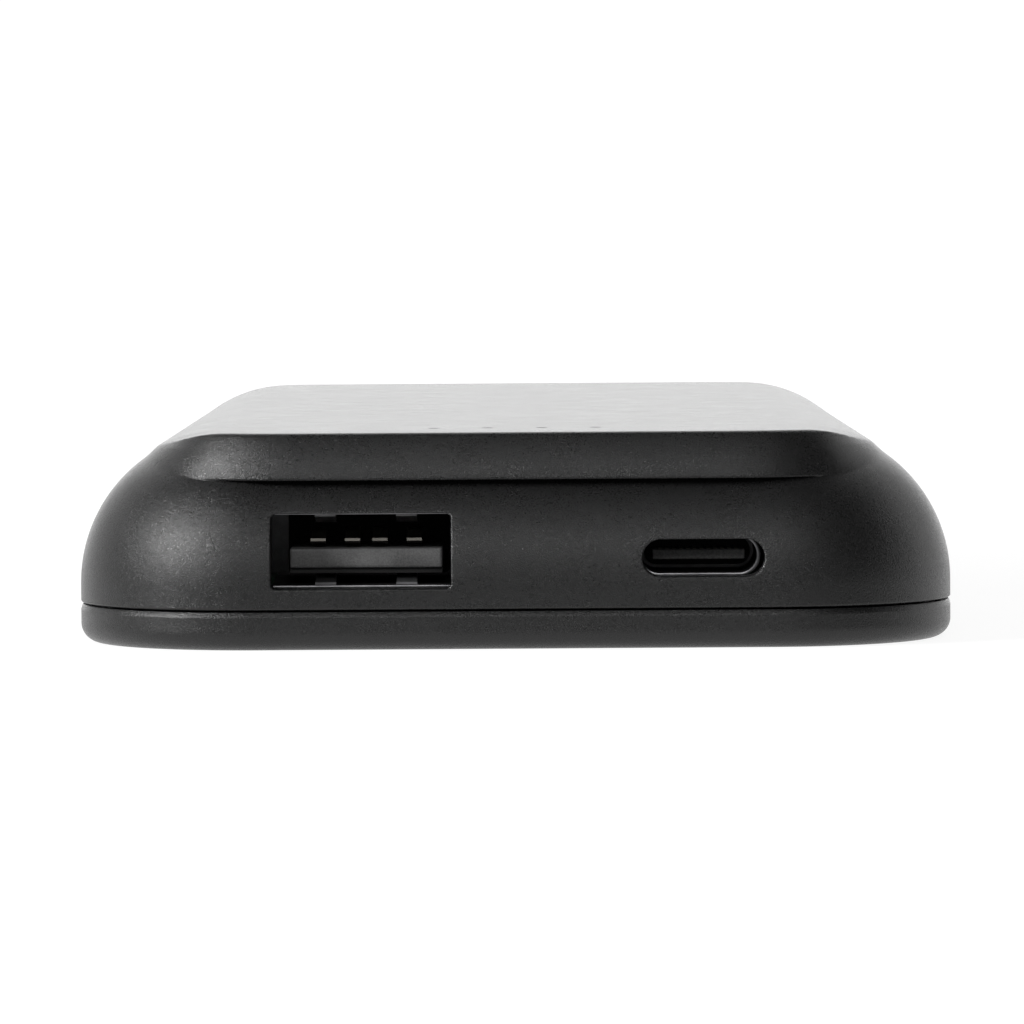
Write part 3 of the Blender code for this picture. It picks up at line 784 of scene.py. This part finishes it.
@dataclass
class CasingForm:
    """The outer form that the top shell, the bottom cover and the button share."""

    side_radius: float = 11.3 * MM
    corner_radius: float = 13.5 * MM
    wall: float = 1.8 * MM
    visor_drop: float = 3.4 * MM
    visor_setback: float = 2.2 * MM
    visor_corner: float = 13.0 * MM
    visor_half: float = 29.0 * MM
    visor_reach: float = 27.0 * MM
    visor_turn: float = 4.4 * MM
    low_tilt: float = math.radians(12)
    high_tilt: float = math.radians(33)
    visor_edge: float = 0.6 * MM
    lip_break: float = 0.18 * MM
    side_blend: float = 2.2 * MM
    blend_rise: float = 2.2 * MM
    corner_steps: int = 40
    front_points: int = 24
    halvings: int = 34
    low: Vector = field(default_factory=lambda: Vector(CAD_BOX[0]))
    high: Vector = field(default_factory=lambda: Vector(CAD_BOX[1]))

    @property
    def half_width(self) -> float:
        """Half the width of the pack."""
        return self.high.x

    @property
    def height(self) -> float:
        """Height of the flat top."""
        return self.high.z

    @property
    def dome_centre(self) -> float:
        """Height where the rounded sides start."""
        return self.height - self.side_radius

    @property
    def crease(self) -> float:
        """Height of the visor's underside."""
        return self.height - self.visor_drop

    def dome_inset(self, height: float, offset: float = 0.0) -> float:
        """How far the side stands in from the widest outline.

        Args:
            height: Height above the base.
            offset: Depth below the outer skin.

        Returns:
            The inset in metres.
        """
        radius = self.side_radius - offset
        rise = min(max(height - self.dome_centre, 0.0), radius)
        return offset + radius - math.sqrt(max(radius * radius - rise * rise, 0.0))

    def visor_inset(self, height: float) -> float:
        """How far the lip leans back at a height, with its lower edge rounded.

        Args:
            height: Height above the base.

        Returns:
            The lean in metres.
        """
        low, high = math.sin(self.low_tilt), math.sin(self.high_tilt)
        edge_start = self.height - self.visor_edge * (1 - high)
        radius = (edge_start - self.crease) / (high - low)
        tilt = low + (min(height, edge_start) - self.crease) / radius
        inset = radius * (math.cos(self.low_tilt) - math.sqrt(1 - tilt * tilt))
        if height > edge_start:
            rise = min(high + (height - edge_start) / self.visor_edge, 1.0)
            inset += self.visor_edge * (math.cos(self.high_tilt) - math.sqrt(1 - rise * rise))
        below = self.crease + self.lip_break - height
        if below > 0:
            inset += self.lip_break - math.sqrt(max(self.lip_break ** 2 - below ** 2, 0.0))
        return inset

    def spokes(self) -> tuple[np.ndarray, np.ndarray]:
        """Start points and directions of the outline's points.

        Returns:
            Two arrays of shape (count, 2).
        """
        far_x = self.half_width - self.corner_radius
        far_y = self.high.y - self.corner_radius
        starts, ways = [], []
        for corner, (side_x, side_y) in enumerate(((1, 1), (-1, 1), (-1, -1), (1, -1))):
            for step in range(self.corner_steps + 1):
                angle = math.pi / 2 * (corner + step / self.corner_steps)
                starts.append((side_x * far_x, side_y * far_y))
                ways.append((math.cos(angle), math.sin(angle)))
            if corner == 2:
                for step in range(1, self.front_points):
                    starts.append((far_x * (2 * step / self.front_points - 1), -far_y))
                    ways.append((0.0, -1.0))
        return np.array(starts), np.array(ways)

    @staticmethod
    def box_gap(points: np.ndarray, half_x: float, front: float, rear: float, radius: float
                ) -> np.ndarray:
        """Signed distance from points to a rounded rectangle, negative inside.

        Args:
            points: Array of shape (count, 2).
            half_x: Half the rectangle's width.
            front: Its lowest Y.
            rear: Its highest Y.
            radius: Its corner radius.

        Returns:
            One distance for each point.
        """
        over_x = np.abs(points[:, 0]) - (half_x - radius)
        over_y = np.abs(points[:, 1] - (front + rear) / 2) - ((rear - front) / 2 - radius)
        outside = np.hypot(np.maximum(over_x, 0), np.maximum(over_y, 0))
        return outside + np.minimum(np.maximum(over_x, over_y), 0) - radius

    @staticmethod
    def soft_min(first: np.ndarray, second: np.ndarray, width: float) -> np.ndarray:
        """Smaller of two distances, with the crossing rounded.

        Args:
            first: One set of distances.
            second: The other set.
            width: Width of the rounded crossing.

        Returns:
            The blended distances.
        """
        mix = np.maximum(width - np.abs(first - second), 0) / width
        return np.minimum(first, second) - mix * mix * width / 4

    def top_gap(self, points: np.ndarray, height: float) -> np.ndarray:
        """Signed distance to the shell's outline at one height, visor included.

        Args:
            points: Array of shape (count, 2).
            height: Height above the base.

        Returns:
            One distance for each point.
        """
        inset = self.dome_inset(height)
        half = self.half_width - inset
        body = self.box_gap(points, half, self.low.y + inset, self.high.y - inset,
                            self.corner_radius - inset)
        if height < self.crease:
            return body
        lean = self.visor_inset(height)
        visor = self.box_gap(points, self.visor_half - lean, self.low.y + self.visor_setback + lean,
                             0.0, self.visor_corner - lean)
        visor = -self.soft_min(-visor, self.visor_reach - lean - np.abs(points[:, 0]),
                               self.visor_turn)
        visor = np.maximum(visor, np.abs(points[:, 0]) - half)
        soften = min(max((height - self.crease) / self.blend_rise, 0.02), 1.0)
        return self.soft_min(body, visor, self.side_blend * soften)

    def ring(self, height: float, inset: float) -> Ring:
        """Plain outline drawn in by an inset.

        Args:
            height: Height of the ring.
            inset: Distance in from the widest outline.

        Returns:
            The ring's points.
        """
        starts, ways = self.spokes()
        points = starts + ways * (self.corner_radius - inset)
        return [(x, y, height) for x, y in points]

    def top_ring(self, height: float) -> Ring:
        """Outline of dome and visor together, found by halving along each spoke.

        Args:
            height: Height of the ring.

        Returns:
            The ring's points.
        """
        starts, ways = self.spokes()
        near = np.zeros(len(starts))
        far = np.full(len(starts), 2 * self.corner_radius)
        for _ in range(self.halvings):
            middle = (near + far) / 2
            inside = self.top_gap(starts + ways * middle[:, None], height) < 0
            near = np.where(inside, middle, near)
            far = np.where(inside, far, middle)
        points = starts + ways * near[:, None]
        return [(x, y, height) for x, y in points]

    def skin_y(self, height: float) -> float:
        """Y of the port wall's skin at a height, away from the corners.

        Args:
            height: Height above the base.

        Returns:
            The Y coordinate.
        """
        return self.low.y + self.dome_inset(height)

    def skin_x(self, height: float) -> float:
        """X of the right side's skin at a height, away from the corners.

        Args:
            height: Height above the base.

        Returns:
            The X coordinate.
        """
        return self.half_width - self.dome_inset(height)


@dataclass
class Mouth:
    """A port's opening in the casing."""

    x: float
    z: float
    width: float
    height: float
    corner: float
    depth: float
    edge: float = 0.14 * MM
    clear: float = 2.0 * MM
    edge_steps: int = 5

    def cutter(self, form: CasingForm) -> bmesh.types.BMesh:
        """Cutter whose rim is rounded where it meets the skin.

        Args:
            form: The casing's form.

        Returns:
            The closed cutter.
        """
        outer = self.outline(form, self.edge * 3, -self.edge * 2)
        rings = [[(x, form.low.y - self.clear, z) for x, _, z in outer], outer]
        for sine, cosine in quarter_turn(self.edge_steps):
            rings.append(self.outline(form, self.edge * (1 - sine), self.edge * (1 - cosine)))
        rings.append([(x, form.low.y + self.depth, z) for x, _, z in rings[-1]])
        return loft(rings)

    def outline(self, form: CasingForm, grow: float, depth: float) -> Ring:
        """Opening grown outward, at a depth below the curved skin.

        Args:
            form: The casing's form.
            grow: Distance added all round.
            depth: Depth below the skin.

        Returns:
            The ring's points.
        """
        points = rounded_outline(self.width / 2 + grow, self.height / 2 + grow,
                                 self.corner + grow, 10, 16)
        return [(self.x + x, form.skin_y(self.z + z) + depth, self.z + z) for x, z in points]


USB_A_MOUTH = Mouth(x=-11.15 * MM, z=7.15 * MM, width=13.0 * MM, height=5.4 * MM,
                    corner=0.4 * MM, depth=5.0 * MM)
USB_C_MOUTH = Mouth(x=13.6 * MM, z=6.55 * MM, width=8.8 * MM, height=2.65 * MM,
                    corner=1.3 * MM, depth=5.0 * MM)


@dataclass
class TopShell:
    """Upper casing with its visor, port mouths, light holes and button slot."""

    form: CasingForm
    edge_break: float = 0.15 * MM
    edge_steps: int = 6
    inner_steps: int = 12
    dome_steps: int = 44
    visor_bands: int = 14
    least_band: float = 0.004 * MM
    pocket_depth: float = 5.0 * MM
    pocket_a: tuple[float, float] = (6.55 * MM, 0.7 * MM)
    pocket_c_corner: float = 1.8 * MM
    lights: int = 4
    light_hole: float = 0.8 * MM
    light_rim: float = 0.06 * MM
    light_skin: float = 0.6 * MM
    light_well: float = 1.28 * MM
    light_pitch: float = 4.0 * MM
    light_setback: float = 12.7 * MM
    gap: float = 0.3 * MM
    slot_gap: float = 0.2 * MM

    def build(self) -> bpy.types.Object:
        """Build, cut and dress the shell.

        Returns:
            The shell.
        """
        shell = new_piece("upper_casing", loft(self.rings()), CASING)
        for tool in self.tools():
            cut(shell, tool)
        shade(shell.data)
        settle(shell, Body.PACK, CASING, "top_shell")
        return shell

    def rings(self) -> list[Ring]:
        """Rings of the inner skin from its top down, then the outer skin up.

        Returns:
            The rings in order.
        """
        form = self.form
        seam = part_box("top_shell")[0].z
        inner_radius = form.side_radius - form.wall
        rings = []
        for sine, _ in reversed(quarter_turn(self.inner_steps)):
            height = form.dome_centre + inner_radius * sine
            rings.append(form.ring(height, form.dome_inset(height, form.wall)))
        rings.append(form.ring(seam, form.wall))
        for sine, cosine in quarter_turn(self.edge_steps):
            rings.append(form.ring(seam + self.edge_break * (1 - cosine),
                                   self.edge_break * (1 - sine)))
        rings.append(form.ring(seam + self.edge_break * 1.3, 0.0))
        for height in self.outer_heights():
            if height < form.crease:
                rings.append(form.ring(height, form.dome_inset(height)))
        rings.append(form.ring(form.crease, form.dome_inset(form.crease)))
        for _, cosine in quarter_turn(self.edge_steps):
            rings.append(form.top_ring(form.crease + form.lip_break * (1 - cosine)))
        for height in self.outer_heights():
            if height > form.crease + form.lip_break * 1.2:
                rings.append(form.top_ring(height))
        return rings

    def outer_heights(self) -> list[float]:
        """Heights of the outer rings, denser where the form turns.

        Returns:
            The sorted heights.
        """
        form = self.form
        bands = self.visor_bands
        heights = [form.dome_centre + form.side_radius * sine
                   for sine, _ in quarter_turn(self.dome_steps)]
        heights += [form.crease + form.visor_drop * step / bands for step in range(1, bands)]
        heights += [form.height - form.visor_edge * (1 - math.sin(math.radians(angle)))
                    for angle in range(35, 90, 6)]
        heights.sort()
        kept = [heights[0]]
        for height in heights[1:]:
            if height - kept[-1] > self.least_band:
                kept.append(height)
        kept[-1] = form.height
        return kept

    def tools(self) -> list[bmesh.types.BMesh]:
        """Cutters for the mouths, pockets, lights and button.

        Returns:
            The cutters in order.
        """
        form = self.form
        tools = [USB_A_MOUTH.cutter(form), USB_C_MOUTH.cutter(form)]
        low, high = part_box("usb_a_shell")
        tools.append(self.pocket(low, high, *self.pocket_a))
        low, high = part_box("usb_c_shell")
        tools.append(self.pocket(low, high, (high.x - low.x) / 2, self.pocket_c_corner))
        for index in range(self.lights):
            tools += self.light_tools(self.light_pitch * (index - (self.lights - 1) / 2))
        tools.append(ButtonCap(form).slot(self.slot_gap))
        return tools

    def pocket(self, low: Vector, high: Vector, half_x: float, corner: float
               ) -> bmesh.types.BMesh:
        """Cutter for the room that a socket's front stands in.

        Args:
            low: Lower corner of the socket's box.
            high: Upper corner of the socket's box.
            half_x: Half the socket's width there.
            corner: Corner radius of the pocket.

        Returns:
            The cutter.
        """
        centre = (low + high) / 2
        points = rounded_outline(half_x + self.gap, (high.z - low.z) / 2 + self.gap, corner)
        return loft([[(centre.x + x, depth, centre.z + z) for x, z in points]
                     for depth in (low.y - self.gap, low.y + self.pocket_depth)])

    def light_tools(self, across: float) -> list[bmesh.types.BMesh]:
        """Countersunk hole and the wider well below it.

        Args:
            across: X of the light.

        Returns:
            The two cutters.
        """
        top = self.form.height
        inner = top - self.form.wall - self.gap
        rim, radius = self.light_rim, self.light_hole / 2
        profile = [(radius, inner), (radius, top - rim), (radius + rim, top),
                   (radius + rim, top + rim)]
        well = [(self.light_well, inner), (self.light_well, top - self.light_skin)]
        place = (across, self.form.low.y + self.light_setback)
        return [loft([self.circle(place, radius, height) for radius, height in rows])
                for rows in (profile, well)]

    @staticmethod
    def circle(place: tuple[float, float], radius: float, height: float, steps: int = 28) -> Ring:
        """Level circle of points.

        Args:
            place: X and Y of its centre.
            radius: Its radius.
            height: Its height.
            steps: Number of points.

        Returns:
            The ring.
        """
        return [(place[0] + radius * math.cos(2 * math.pi * step / steps),
                 place[1] + radius * math.sin(2 * math.pi * step / steps), height)
                for step in range(steps)]


@dataclass
class ButtonCap:
    """Flush button in the right side, with a softly rounded rim."""

    form: CasingForm
    length: float = 10.0 * MM
    height: float = 3.6 * MM
    edge: float = 0.25 * MM
    flange: float = 0.8 * MM
    flange_flat: float = 0.9 * MM
    slot_edge: float = 0.12 * MM
    end_flat: float = 0.01 * MM
    crown_rings: int = 4
    edge_steps: int = 6
    slot_steps: int = 4
    end_steps: tuple[int, int] = (12, 3)
    crease: float = math.radians(40)

    def centre(self) -> Vector:
        """Centre of the button's box."""
        low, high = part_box("side_button")
        return (low + high) / 2

    def outline(self, grow: float, depth: float) -> Ring:
        """Button outline at a depth below the side's skin.

        Args:
            grow: Distance added all round.
            depth: Depth below the skin.

        Returns:
            The ring's points.
        """
        centre = self.centre()
        half_z = self.height / 2 + grow
        points = rounded_outline(self.length / 2 + grow, half_z, half_z - self.end_flat,
                                 *self.end_steps)
        return [(self.form.skin_x(centre.z + z) - depth, centre.y + y, centre.z + z)
                for y, z in points]

    def slot(self, gap: float) -> bmesh.types.BMesh:
        """Cutter for the slot in the casing.

        Args:
            gap: Clearance round the cap.

        Returns:
            The closed cutter.
        """
        edge = self.slot_edge
        outer = self.outline(gap + edge * 3, -edge * 2)
        rings = [[(self.form.half_width + self.form.wall, y, z) for _, y, z in outer], outer]
        for sine, cosine in quarter_turn(self.slot_steps):
            rings.append(self.outline(gap + edge * (1 - sine), edge * (1 - cosine)))
        inner = self.form.half_width - 3 * self.form.wall
        rings.append([(inner, y, z) for _, y, z in rings[-1]])
        return loft(rings)

    def build(self) -> bpy.types.Object:
        """Build and dress the cap with its flange.

        Returns:
            The cap.
        """
        low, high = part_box("side_button")
        crown = self.crown_rings
        rings = [self.outline(-self.edge - self.height / 4 * (1 - step / crown), 0.0)
                 for step in range(crown)]
        for sine, cosine in quarter_turn(self.edge_steps):
            rings.append(self.outline(-self.edge * (1 - sine), self.edge * (1 - cosine)))
        rings.append([(low.x + self.flange, y, z) for _, y, z in rings[-1]])
        centre = self.centre()
        half_y, half_z = (high.y - low.y) / 2, (high.z - low.z) / 2
        wide = rounded_outline(half_y, half_z, half_z - self.flange_flat, *self.end_steps)
        rings += [[(x, centre.y + y, centre.z + z) for y, z in wide]
                  for x in (low.x + self.flange, low.x)]
        cap = new_piece("button_cap", loft(rings), BUTTON, self.crease)
        settle(cap, Body.BUTTON, BUTTON, "side_button")
        return cap


@dataclass
class BottomCover:
    """Shallow cover with a chamfered upper edge and rounded base."""

    form: CasingForm
    base_radius: float = 1.4 * MM
    base_steps: int = 12
    strip: tuple[float, float] = (0.34 * MM, 0.11 * MM)
    soft: float = 0.05 * MM
    seam_gap: float = 0.14 * MM
    floor: float = 1.6 * MM
    tongue_gap: float = 0.3 * MM
    tongue_rise: float = 1.0 * MM
    tongue_width: float = 1.0 * MM

    def build(self) -> None:
        """Build and dress the cover."""
        form = self.form
        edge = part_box("top_shell")[0].z
        seam, rim = edge - self.seam_gap, edge + self.tongue_rise
        outside = form.wall + self.tongue_gap
        inside = outside + self.tongue_width
        tall, deep = self.strip
        low, soft = seam - tall, self.soft
        profile = [(self.base_radius * (1 - cosine), self.base_radius * (1 - sine))
                   for sine, cosine in quarter_turn(self.base_steps)]
        profile += [(self.base_radius + soft, 0.0), (low - 2 * soft, 0.0), (low - soft, 0.0),
                    (low, soft * 0.4), (seam - soft, deep), (seam, deep + soft),
                    (seam, outside), (rim, outside), (rim, inside), (self.floor, inside)]
        rings = [form.ring(height, inset) for height, inset in profile]
        add_piece("lower_casing", loft(rings), CASING, "bottom_cover")


# ------------------------------------------------------------------ sockets


@dataclass
class UsbASocket:
    """Steel shell with spring fingers, a tongue and four bent contacts."""

    corner: float = 0.6 * MM
    sheet: float = 0.3 * MM
    rim: float = 0.09 * MM
    spring_pitch: float = 5.9 * MM
    spring_width: float = 1.5 * MM
    spring_sheet: float = 0.18 * MM
    spring_rise: float = 0.55 * MM
    spring_run: tuple[float, float] = (0.9 * MM, 6.4 * MM)
    spring_steps: int = 14
    contacts: int = 4
    contact_rise: float = 1.05 * MM
    contact_curl: float = 0.34 * MM
    contact_sheet: float = 0.2 * MM
    contact_steps: int = 32
    hump_at: float = 0.42
    hump_span: float = 0.17
    curl_span: float = 0.09
    tongue: tuple[float, float] = (11.1 * MM, 1.84 * MM)
    tongue_low: float = 5.38 * MM
    step: float = 0.4 * MM
    rear: float = 2.0 * MM

    def build(self) -> None:
        """Build the shell, its springs, the tongue and the contacts."""
        low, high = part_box("usb_a_shell")
        add_piece("usb_a_steel_shell", sheet_cup(low, high, self.corner, self.sheet, self.rim),
                  STEEL, "usb_a_shell")
        for number, (side, up) in enumerate(((-1, 1), (1, 1), (-1, -1), (1, -1)), 1):
            self.spring(number, side, up)
        low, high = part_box("usb_a_tongue")
        left, right = ((low.x + high.x + side * self.tongue[0]) / 2 for side in (-1, 1))
        back, foot = high.y - self.rear, self.tongue_low
        shelf, top = foot + self.step, foot + self.tongue[1]
        add_piece("usb_a_moulded_tongue",
                  soft_block(Vector((left, low.y, shelf)), Vector((right, back, top)),
                             0.15 * MM, 0.2 * MM), TONGUE)
        add_piece("usb_a_tongue_keel",
                  soft_block(Vector((left, low.y + self.step, foot)),
                             Vector((right, back, shelf)), 0.05 * MM, 0.05 * MM), RESIN)
        add_piece("usb_a_rear_block",
                  soft_block(Vector((low.x, back, low.z)), high, 0.3 * MM, 0.1 * MM),
                  RESIN, "usb_a_tongue")
        for number in range(1, self.contacts + 1):
            self.contact(number, (foot + top) / 2)

    def spring(self, number: int, side: int, up: int) -> None:
        """Finger that rises from the upper or lower wall of the shell.

        Args:
            number: Its number.
            side: -1 for the left, 1 for the right.
            up: 1 for a finger on the lower wall, -1 for one on the upper wall.
        """
        low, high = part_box("usb_a_shell")
        wall = low.z + self.sheet if up > 0 else high.z - self.sheet
        start, end = (low.y + run for run in self.spring_run)
        path = []
        for step in range(self.spring_steps + 1):
            share = step / self.spring_steps
            hump = math.sin(math.pi * share) ** 1.5
            path.append((start + (end - start) * share,
                         wall + up * (self.spring_sheet * 0.4 + self.spring_rise * hump)))
        across = (low.x + high.x) / 2 + side * self.spring_pitch / 2
        add_piece(f"usb_a_spring_{number}",
                  bent_strip(across, path, self.spring_width, self.spring_sheet), SPRING)

    def contact(self, number: int, tongue_z: float) -> None:
        """Contact blade that is bent up off the tongue.

        Args:
            number: Its number.
            tongue_z: Height of the tongue's middle.
        """
        low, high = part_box(f"usb_a_contact_{number}")
        up = 1 if (low.z + high.z) / 2 > tongue_z else -1
        base = (low.z if up > 0 else high.z) + up * self.contact_sheet / 2
        path = []
        for step in range(self.contact_steps + 1):
            share = step / self.contact_steps
            hump = math.exp(-((share - self.hump_at) / self.hump_span) ** 2)
            curl = math.exp(-(share / self.curl_span) ** 2)
            path.append((low.y + (high.y - low.y) * share,
                         base + up * (self.contact_rise * hump + self.contact_curl * curl)))
        add_piece(f"usb_a_blade_{number}",
                  bent_strip((low.x + high.x) / 2, path, high.x - low.x, self.contact_sheet),
                  GOLD, f"usb_a_contact_{number}")


@dataclass
class UsbCSocket:
    """Drawn oval shell round a tongue with two rows of gold pads."""

    sheet: float = 0.3 * MM
    rim: float = 0.1 * MM
    pad_pitch: float = 0.5 * MM
    pad_size: tuple[float, float] = (0.26 * MM, 3.4 * MM)
    pad_rise: float = 0.03 * MM
    pads_in_row: int = 12
    pad_setback: float = 0.5 * MM
    oval_flat: float = 0.02 * MM
    tongue: tuple[float, float] = (6.69 * MM, 0.7 * MM)
    rear: float = 1.5 * MM

    def build(self) -> None:
        """Build the shell, the tongue and its pads."""
        low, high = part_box("usb_c_shell")
        corner = (high.z - low.z) / 2 - self.oval_flat
        add_piece("usb_c_steel_shell", sheet_cup(low, high, corner, self.sheet, self.rim), STEEL,
                  "usb_c_shell")
        low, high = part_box("usb_c_tongue")
        centre = (low + high) / 2
        half_x, half_z = self.tongue[0] / 2, self.tongue[1] / 2
        back = high.y - self.rear
        add_piece("usb_c_moulded_tongue",
                  soft_block(Vector((centre.x - half_x, low.y, centre.z - half_z)),
                             Vector((centre.x + half_x, back, centre.z + half_z)),
                             0.1 * MM, 0.1 * MM), TONGUE)
        add_piece("usb_c_rear_block",
                  soft_block(Vector((low.x, back, low.z)), high, 0.9 * MM, 0.1 * MM),
                  RESIN, "usb_c_tongue")
        start = low.y + self.pad_setback
        for number in range(2 * self.pads_in_row):
            row, place = divmod(number, self.pads_in_row)
            across = centre.x + self.pad_pitch * (place - (self.pads_in_row - 1) / 2)
            level = centre.z + (half_z, -half_z)[row]
            path = [(start, level), (start + self.pad_size[1], level)]
            add_piece(f"usb_c_pad_{number + 1}",
                      bent_strip(across, path, self.pad_size[0], 2 * self.pad_rise), GOLD)


# -------------------------------------------------------------------- stage


def path_output(nodes: Nodes, name: str) -> bpy.types.NodeSocket:
    """One output of a Light Path node.

    Args:
        nodes: Helper for the material's tree.
        name: The output's name.

    Returns:
        The output socket.
    """
    return nodes.add("ShaderNodeLightPath").outputs[name]


@dataclass(frozen=True)
class SoftLamp:
    """Rectangular soft lamp aimed at the port end."""

    name: str
    around: float
    above: float
    far: float
    size: tuple[float, float]
    power: float
    aim: float = 7.0 * MM

    def build(self) -> None:
        """Add the lamp; its angles are degrees to the left of the front and above the floor."""
        data = bpy.data.lights.new(self.name, "AREA")
        data.shape = "RECTANGLE"
        data.size, data.size_y = self.size
        data.energy = self.power
        lamp = bpy.data.objects.new(self.name, data)
        bpy.context.scene.collection.objects.link(lamp)
        turn, lift = math.radians(self.around), math.radians(self.above)
        way = Vector((-math.sin(turn) * math.cos(lift), -math.cos(turn) * math.cos(lift),
                      math.sin(lift)))
        lamp.location = Vector((0.0, FRONT_Y, self.aim)) + way * self.far
        lamp.rotation_euler = way.to_track_quat("Z", "Y").to_euler()


@dataclass(frozen=True)
class SweepPaper:
    """Paper that is white to the camera and a glow in the object's reflections."""

    tone: float = 0.16
    rough: float = 0.9
    near: tuple[float, float] = (FRONT_Y - 0.05, FRONT_Y - 0.005)
    near_glow: float = 0.85
    far: tuple[float, float] = (0.25, 0.40)
    far_side: tuple[float, float] = (0.35, 0.60)
    floor_white: float = 0.90

    def material(self) -> bpy.types.Material:
        """Build the paper's material.

        Returns:
            The material.
        """
        made = bpy.data.materials.new("sweep_paper")
        made.use_nodes = True
        nodes = Nodes(made.node_tree)
        shader = made.node_tree.nodes["Principled BSDF"]
        nodes.feed(shader, "Base Color", (self.tone, self.tone, self.tone, 1.0))
        nodes.feed(shader, "Roughness", self.rough)
        place = nodes.add("ShaderNodeTexCoord").outputs["Object"]
        split = nodes.add("ShaderNodeSeparateXYZ", Vector=place)
        along, across = split.outputs["Y"], nodes.math("ABSOLUTE", split.outputs["X"])
        front = nodes.spread(along, *self.near, 0.0, self.near_glow)
        behind = nodes.math("MULTIPLY", nodes.spread(along, *self.far),
                            nodes.spread(across, *self.far_side, 1.0, 0.0))
        glossy = nodes.math("MULTIPLY", path_output(nodes, "Is Glossy Ray"),
                            nodes.math("ADD", front, behind))
        straight = nodes.math("MAXIMUM", path_output(nodes, "Is Camera Ray"),
                              path_output(nodes, "Is Transmission Ray"))
        white = nodes.spread(along, 0.0, self.far[0], self.floor_white, 1.0)
        nodes.feed(shader, "Emission Color", (1.0, 1.0, 1.0, 1.0))
        nodes.feed(shader, "Emission Strength",
                   nodes.math("ADD", glossy, nodes.math("MULTIPLY", straight, white)))
        return made


@dataclass
class Studio:
    """Floor, backdrop, lamps and camera."""

    lamps: tuple[SoftLamp, ...] = (
        SoftLamp("key", around=65, above=27, far=0.55, size=(0.15, 0.15), power=3.0),
        SoftLamp("front", around=0, above=31, far=0.80, size=(0.50, 0.12), power=1.4),
        SoftLamp("strip", around=-112, above=15, far=0.55, size=(0.08, 0.25), power=0.1),
    )
    lens: float = 232.0
    sensor: float = 36.0
    clip_end: float = 20.0
    stand: tuple[float, float, float] = (0.43 * MM, -545 * MM, 32.7 * MM)
    heading: float = math.radians(0.078)
    tilt: float = math.radians(90 - 2.74)
    roll: float = math.radians(-0.38)
    room_glow: float = 0.08
    half_width: float = 3.0
    front: float = -2.5
    back: float = 1.2
    rise: float = 2.0
    bend: float = 0.5
    bend_steps: int = 16

    def build(self) -> None:
        """Set up everything that isn't the object."""
        self.camera()
        self.ground()
        self.surroundings()
        for lamp in self.lamps:
            lamp.build()
        bpy.context.scene.view_settings.view_transform = "Standard"

    def camera(self) -> None:
        """Long lens just above the top face, level with the port end."""
        data = bpy.data.cameras.new("camera")
        data.lens = self.lens
        data.sensor_width = self.sensor
        data.clip_end = self.clip_end
        camera = bpy.data.objects.new("camera", data)
        bpy.context.scene.collection.objects.link(camera)
        turn = (Matrix.Rotation(self.heading, 4, "Z") @ Matrix.Rotation(self.tilt, 4, "X")
                @ Matrix.Rotation(self.roll, 4, "Z"))
        camera.matrix_world = Matrix.Translation(self.stand) @ turn
        bpy.context.scene.camera = camera

    def ground(self) -> None:
        """White floor that curves up into a backdrop."""
        start = self.back - self.bend
        profile = [(self.front, 0.0)]
        profile += [(start + self.bend * sine, self.bend * (1 - cosine))
                    for sine, cosine in quarter_turn(self.bend_steps)]
        profile.append((self.back, self.rise))
        mesh = bmesh.new()
        left, right = ([mesh.verts.new((side * self.half_width, y, z)) for y, z in profile]
                       for side in (-1, 1))
        for index in range(len(profile) - 1):
            mesh.faces.new((left[index], right[index], right[index + 1], left[index + 1]))
        data = bpy.data.meshes.new("sweep")
        mesh.to_mesh(data)
        mesh.free()
        data.shade_smooth()
        data.materials.append(SweepPaper().material())
        sweep = bpy.data.objects.new("sweep", data)
        bpy.context.scene.collection.objects.link(sweep)

    def surroundings(self) -> None:
        """Dark room that only the camera sees as white."""
        world = bpy.context.scene.world or bpy.data.worlds.new("world")
        bpy.context.scene.world = world
        world.use_nodes = True
        back = world.node_tree.nodes["Background"]
        nodes = Nodes(world.node_tree)
        nodes.feed(back, "Color", (1.0, 1.0, 1.0, 1.0))
        seen = path_output(nodes, "Is Camera Ray")
        nodes.feed(back, "Strength", nodes.spread(seen, 0.0, 1.0, self.room_glow, 1.0))


# ------------------------------------------------------------- frame's nodes


class CarriedNodes:
    """The frame's own nodes that stay as they are and only get a finish."""

    single: dict[str, Finish] = {
        "switch_body": RESIN, "switch_plunger": RESIN, "main_board": MASK,
        "board_screw_left": SCREW, "board_screw_right": SCREW, "power_inductor": FERRITE,
        "controller_chip": RESIN, "protection_chip": RESIN, "light_guide": CLEAR,
        "cell_lower": FOIL, "cell_upper": FOIL, "cell_tape": TAPE, "cell_foam": FOAM,
        "lead_positive": RED, "lead_negative": BLACK,
    }
    family: dict[str, Finish] = {
        "capacitor_": CERAMIC, "indicator_led_": LED, "tab_": NICKEL, "strip_": NICKEL,
    }
    crease = math.radians(30)

    def finishes(self) -> dict[str, Finish]:
        """Finish for each carried node.

        Returns:
            Finishes by node name.
        """
        found = dict(self.single)
        for prefix, finish in self.family.items():
            found.update({name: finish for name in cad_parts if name.startswith(prefix)})
        return found

    def dress(self) -> None:
        """Give every carried node its finish."""
        for name, finish in self.finishes().items():
            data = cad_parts[name].data
            data.materials.clear()
            data.materials.append(finish.material())
            shade(data, self.crease)
            LOG.info("%s wears %s", name, finish.name)


def main() -> None:
    """Build the whole object and its studio."""
    logging.basicConfig(level=logging.INFO, format="%(name)s %(message)s")
    form = CasingForm()
    CarriedNodes().dress()
    TopShell(form).build()
    BottomCover(form).build()
    ButtonCap(form).build()
    UsbASocket().build()
    UsbCSocket().build()
    Studio().build()


if __name__ == "__main__":
    main()
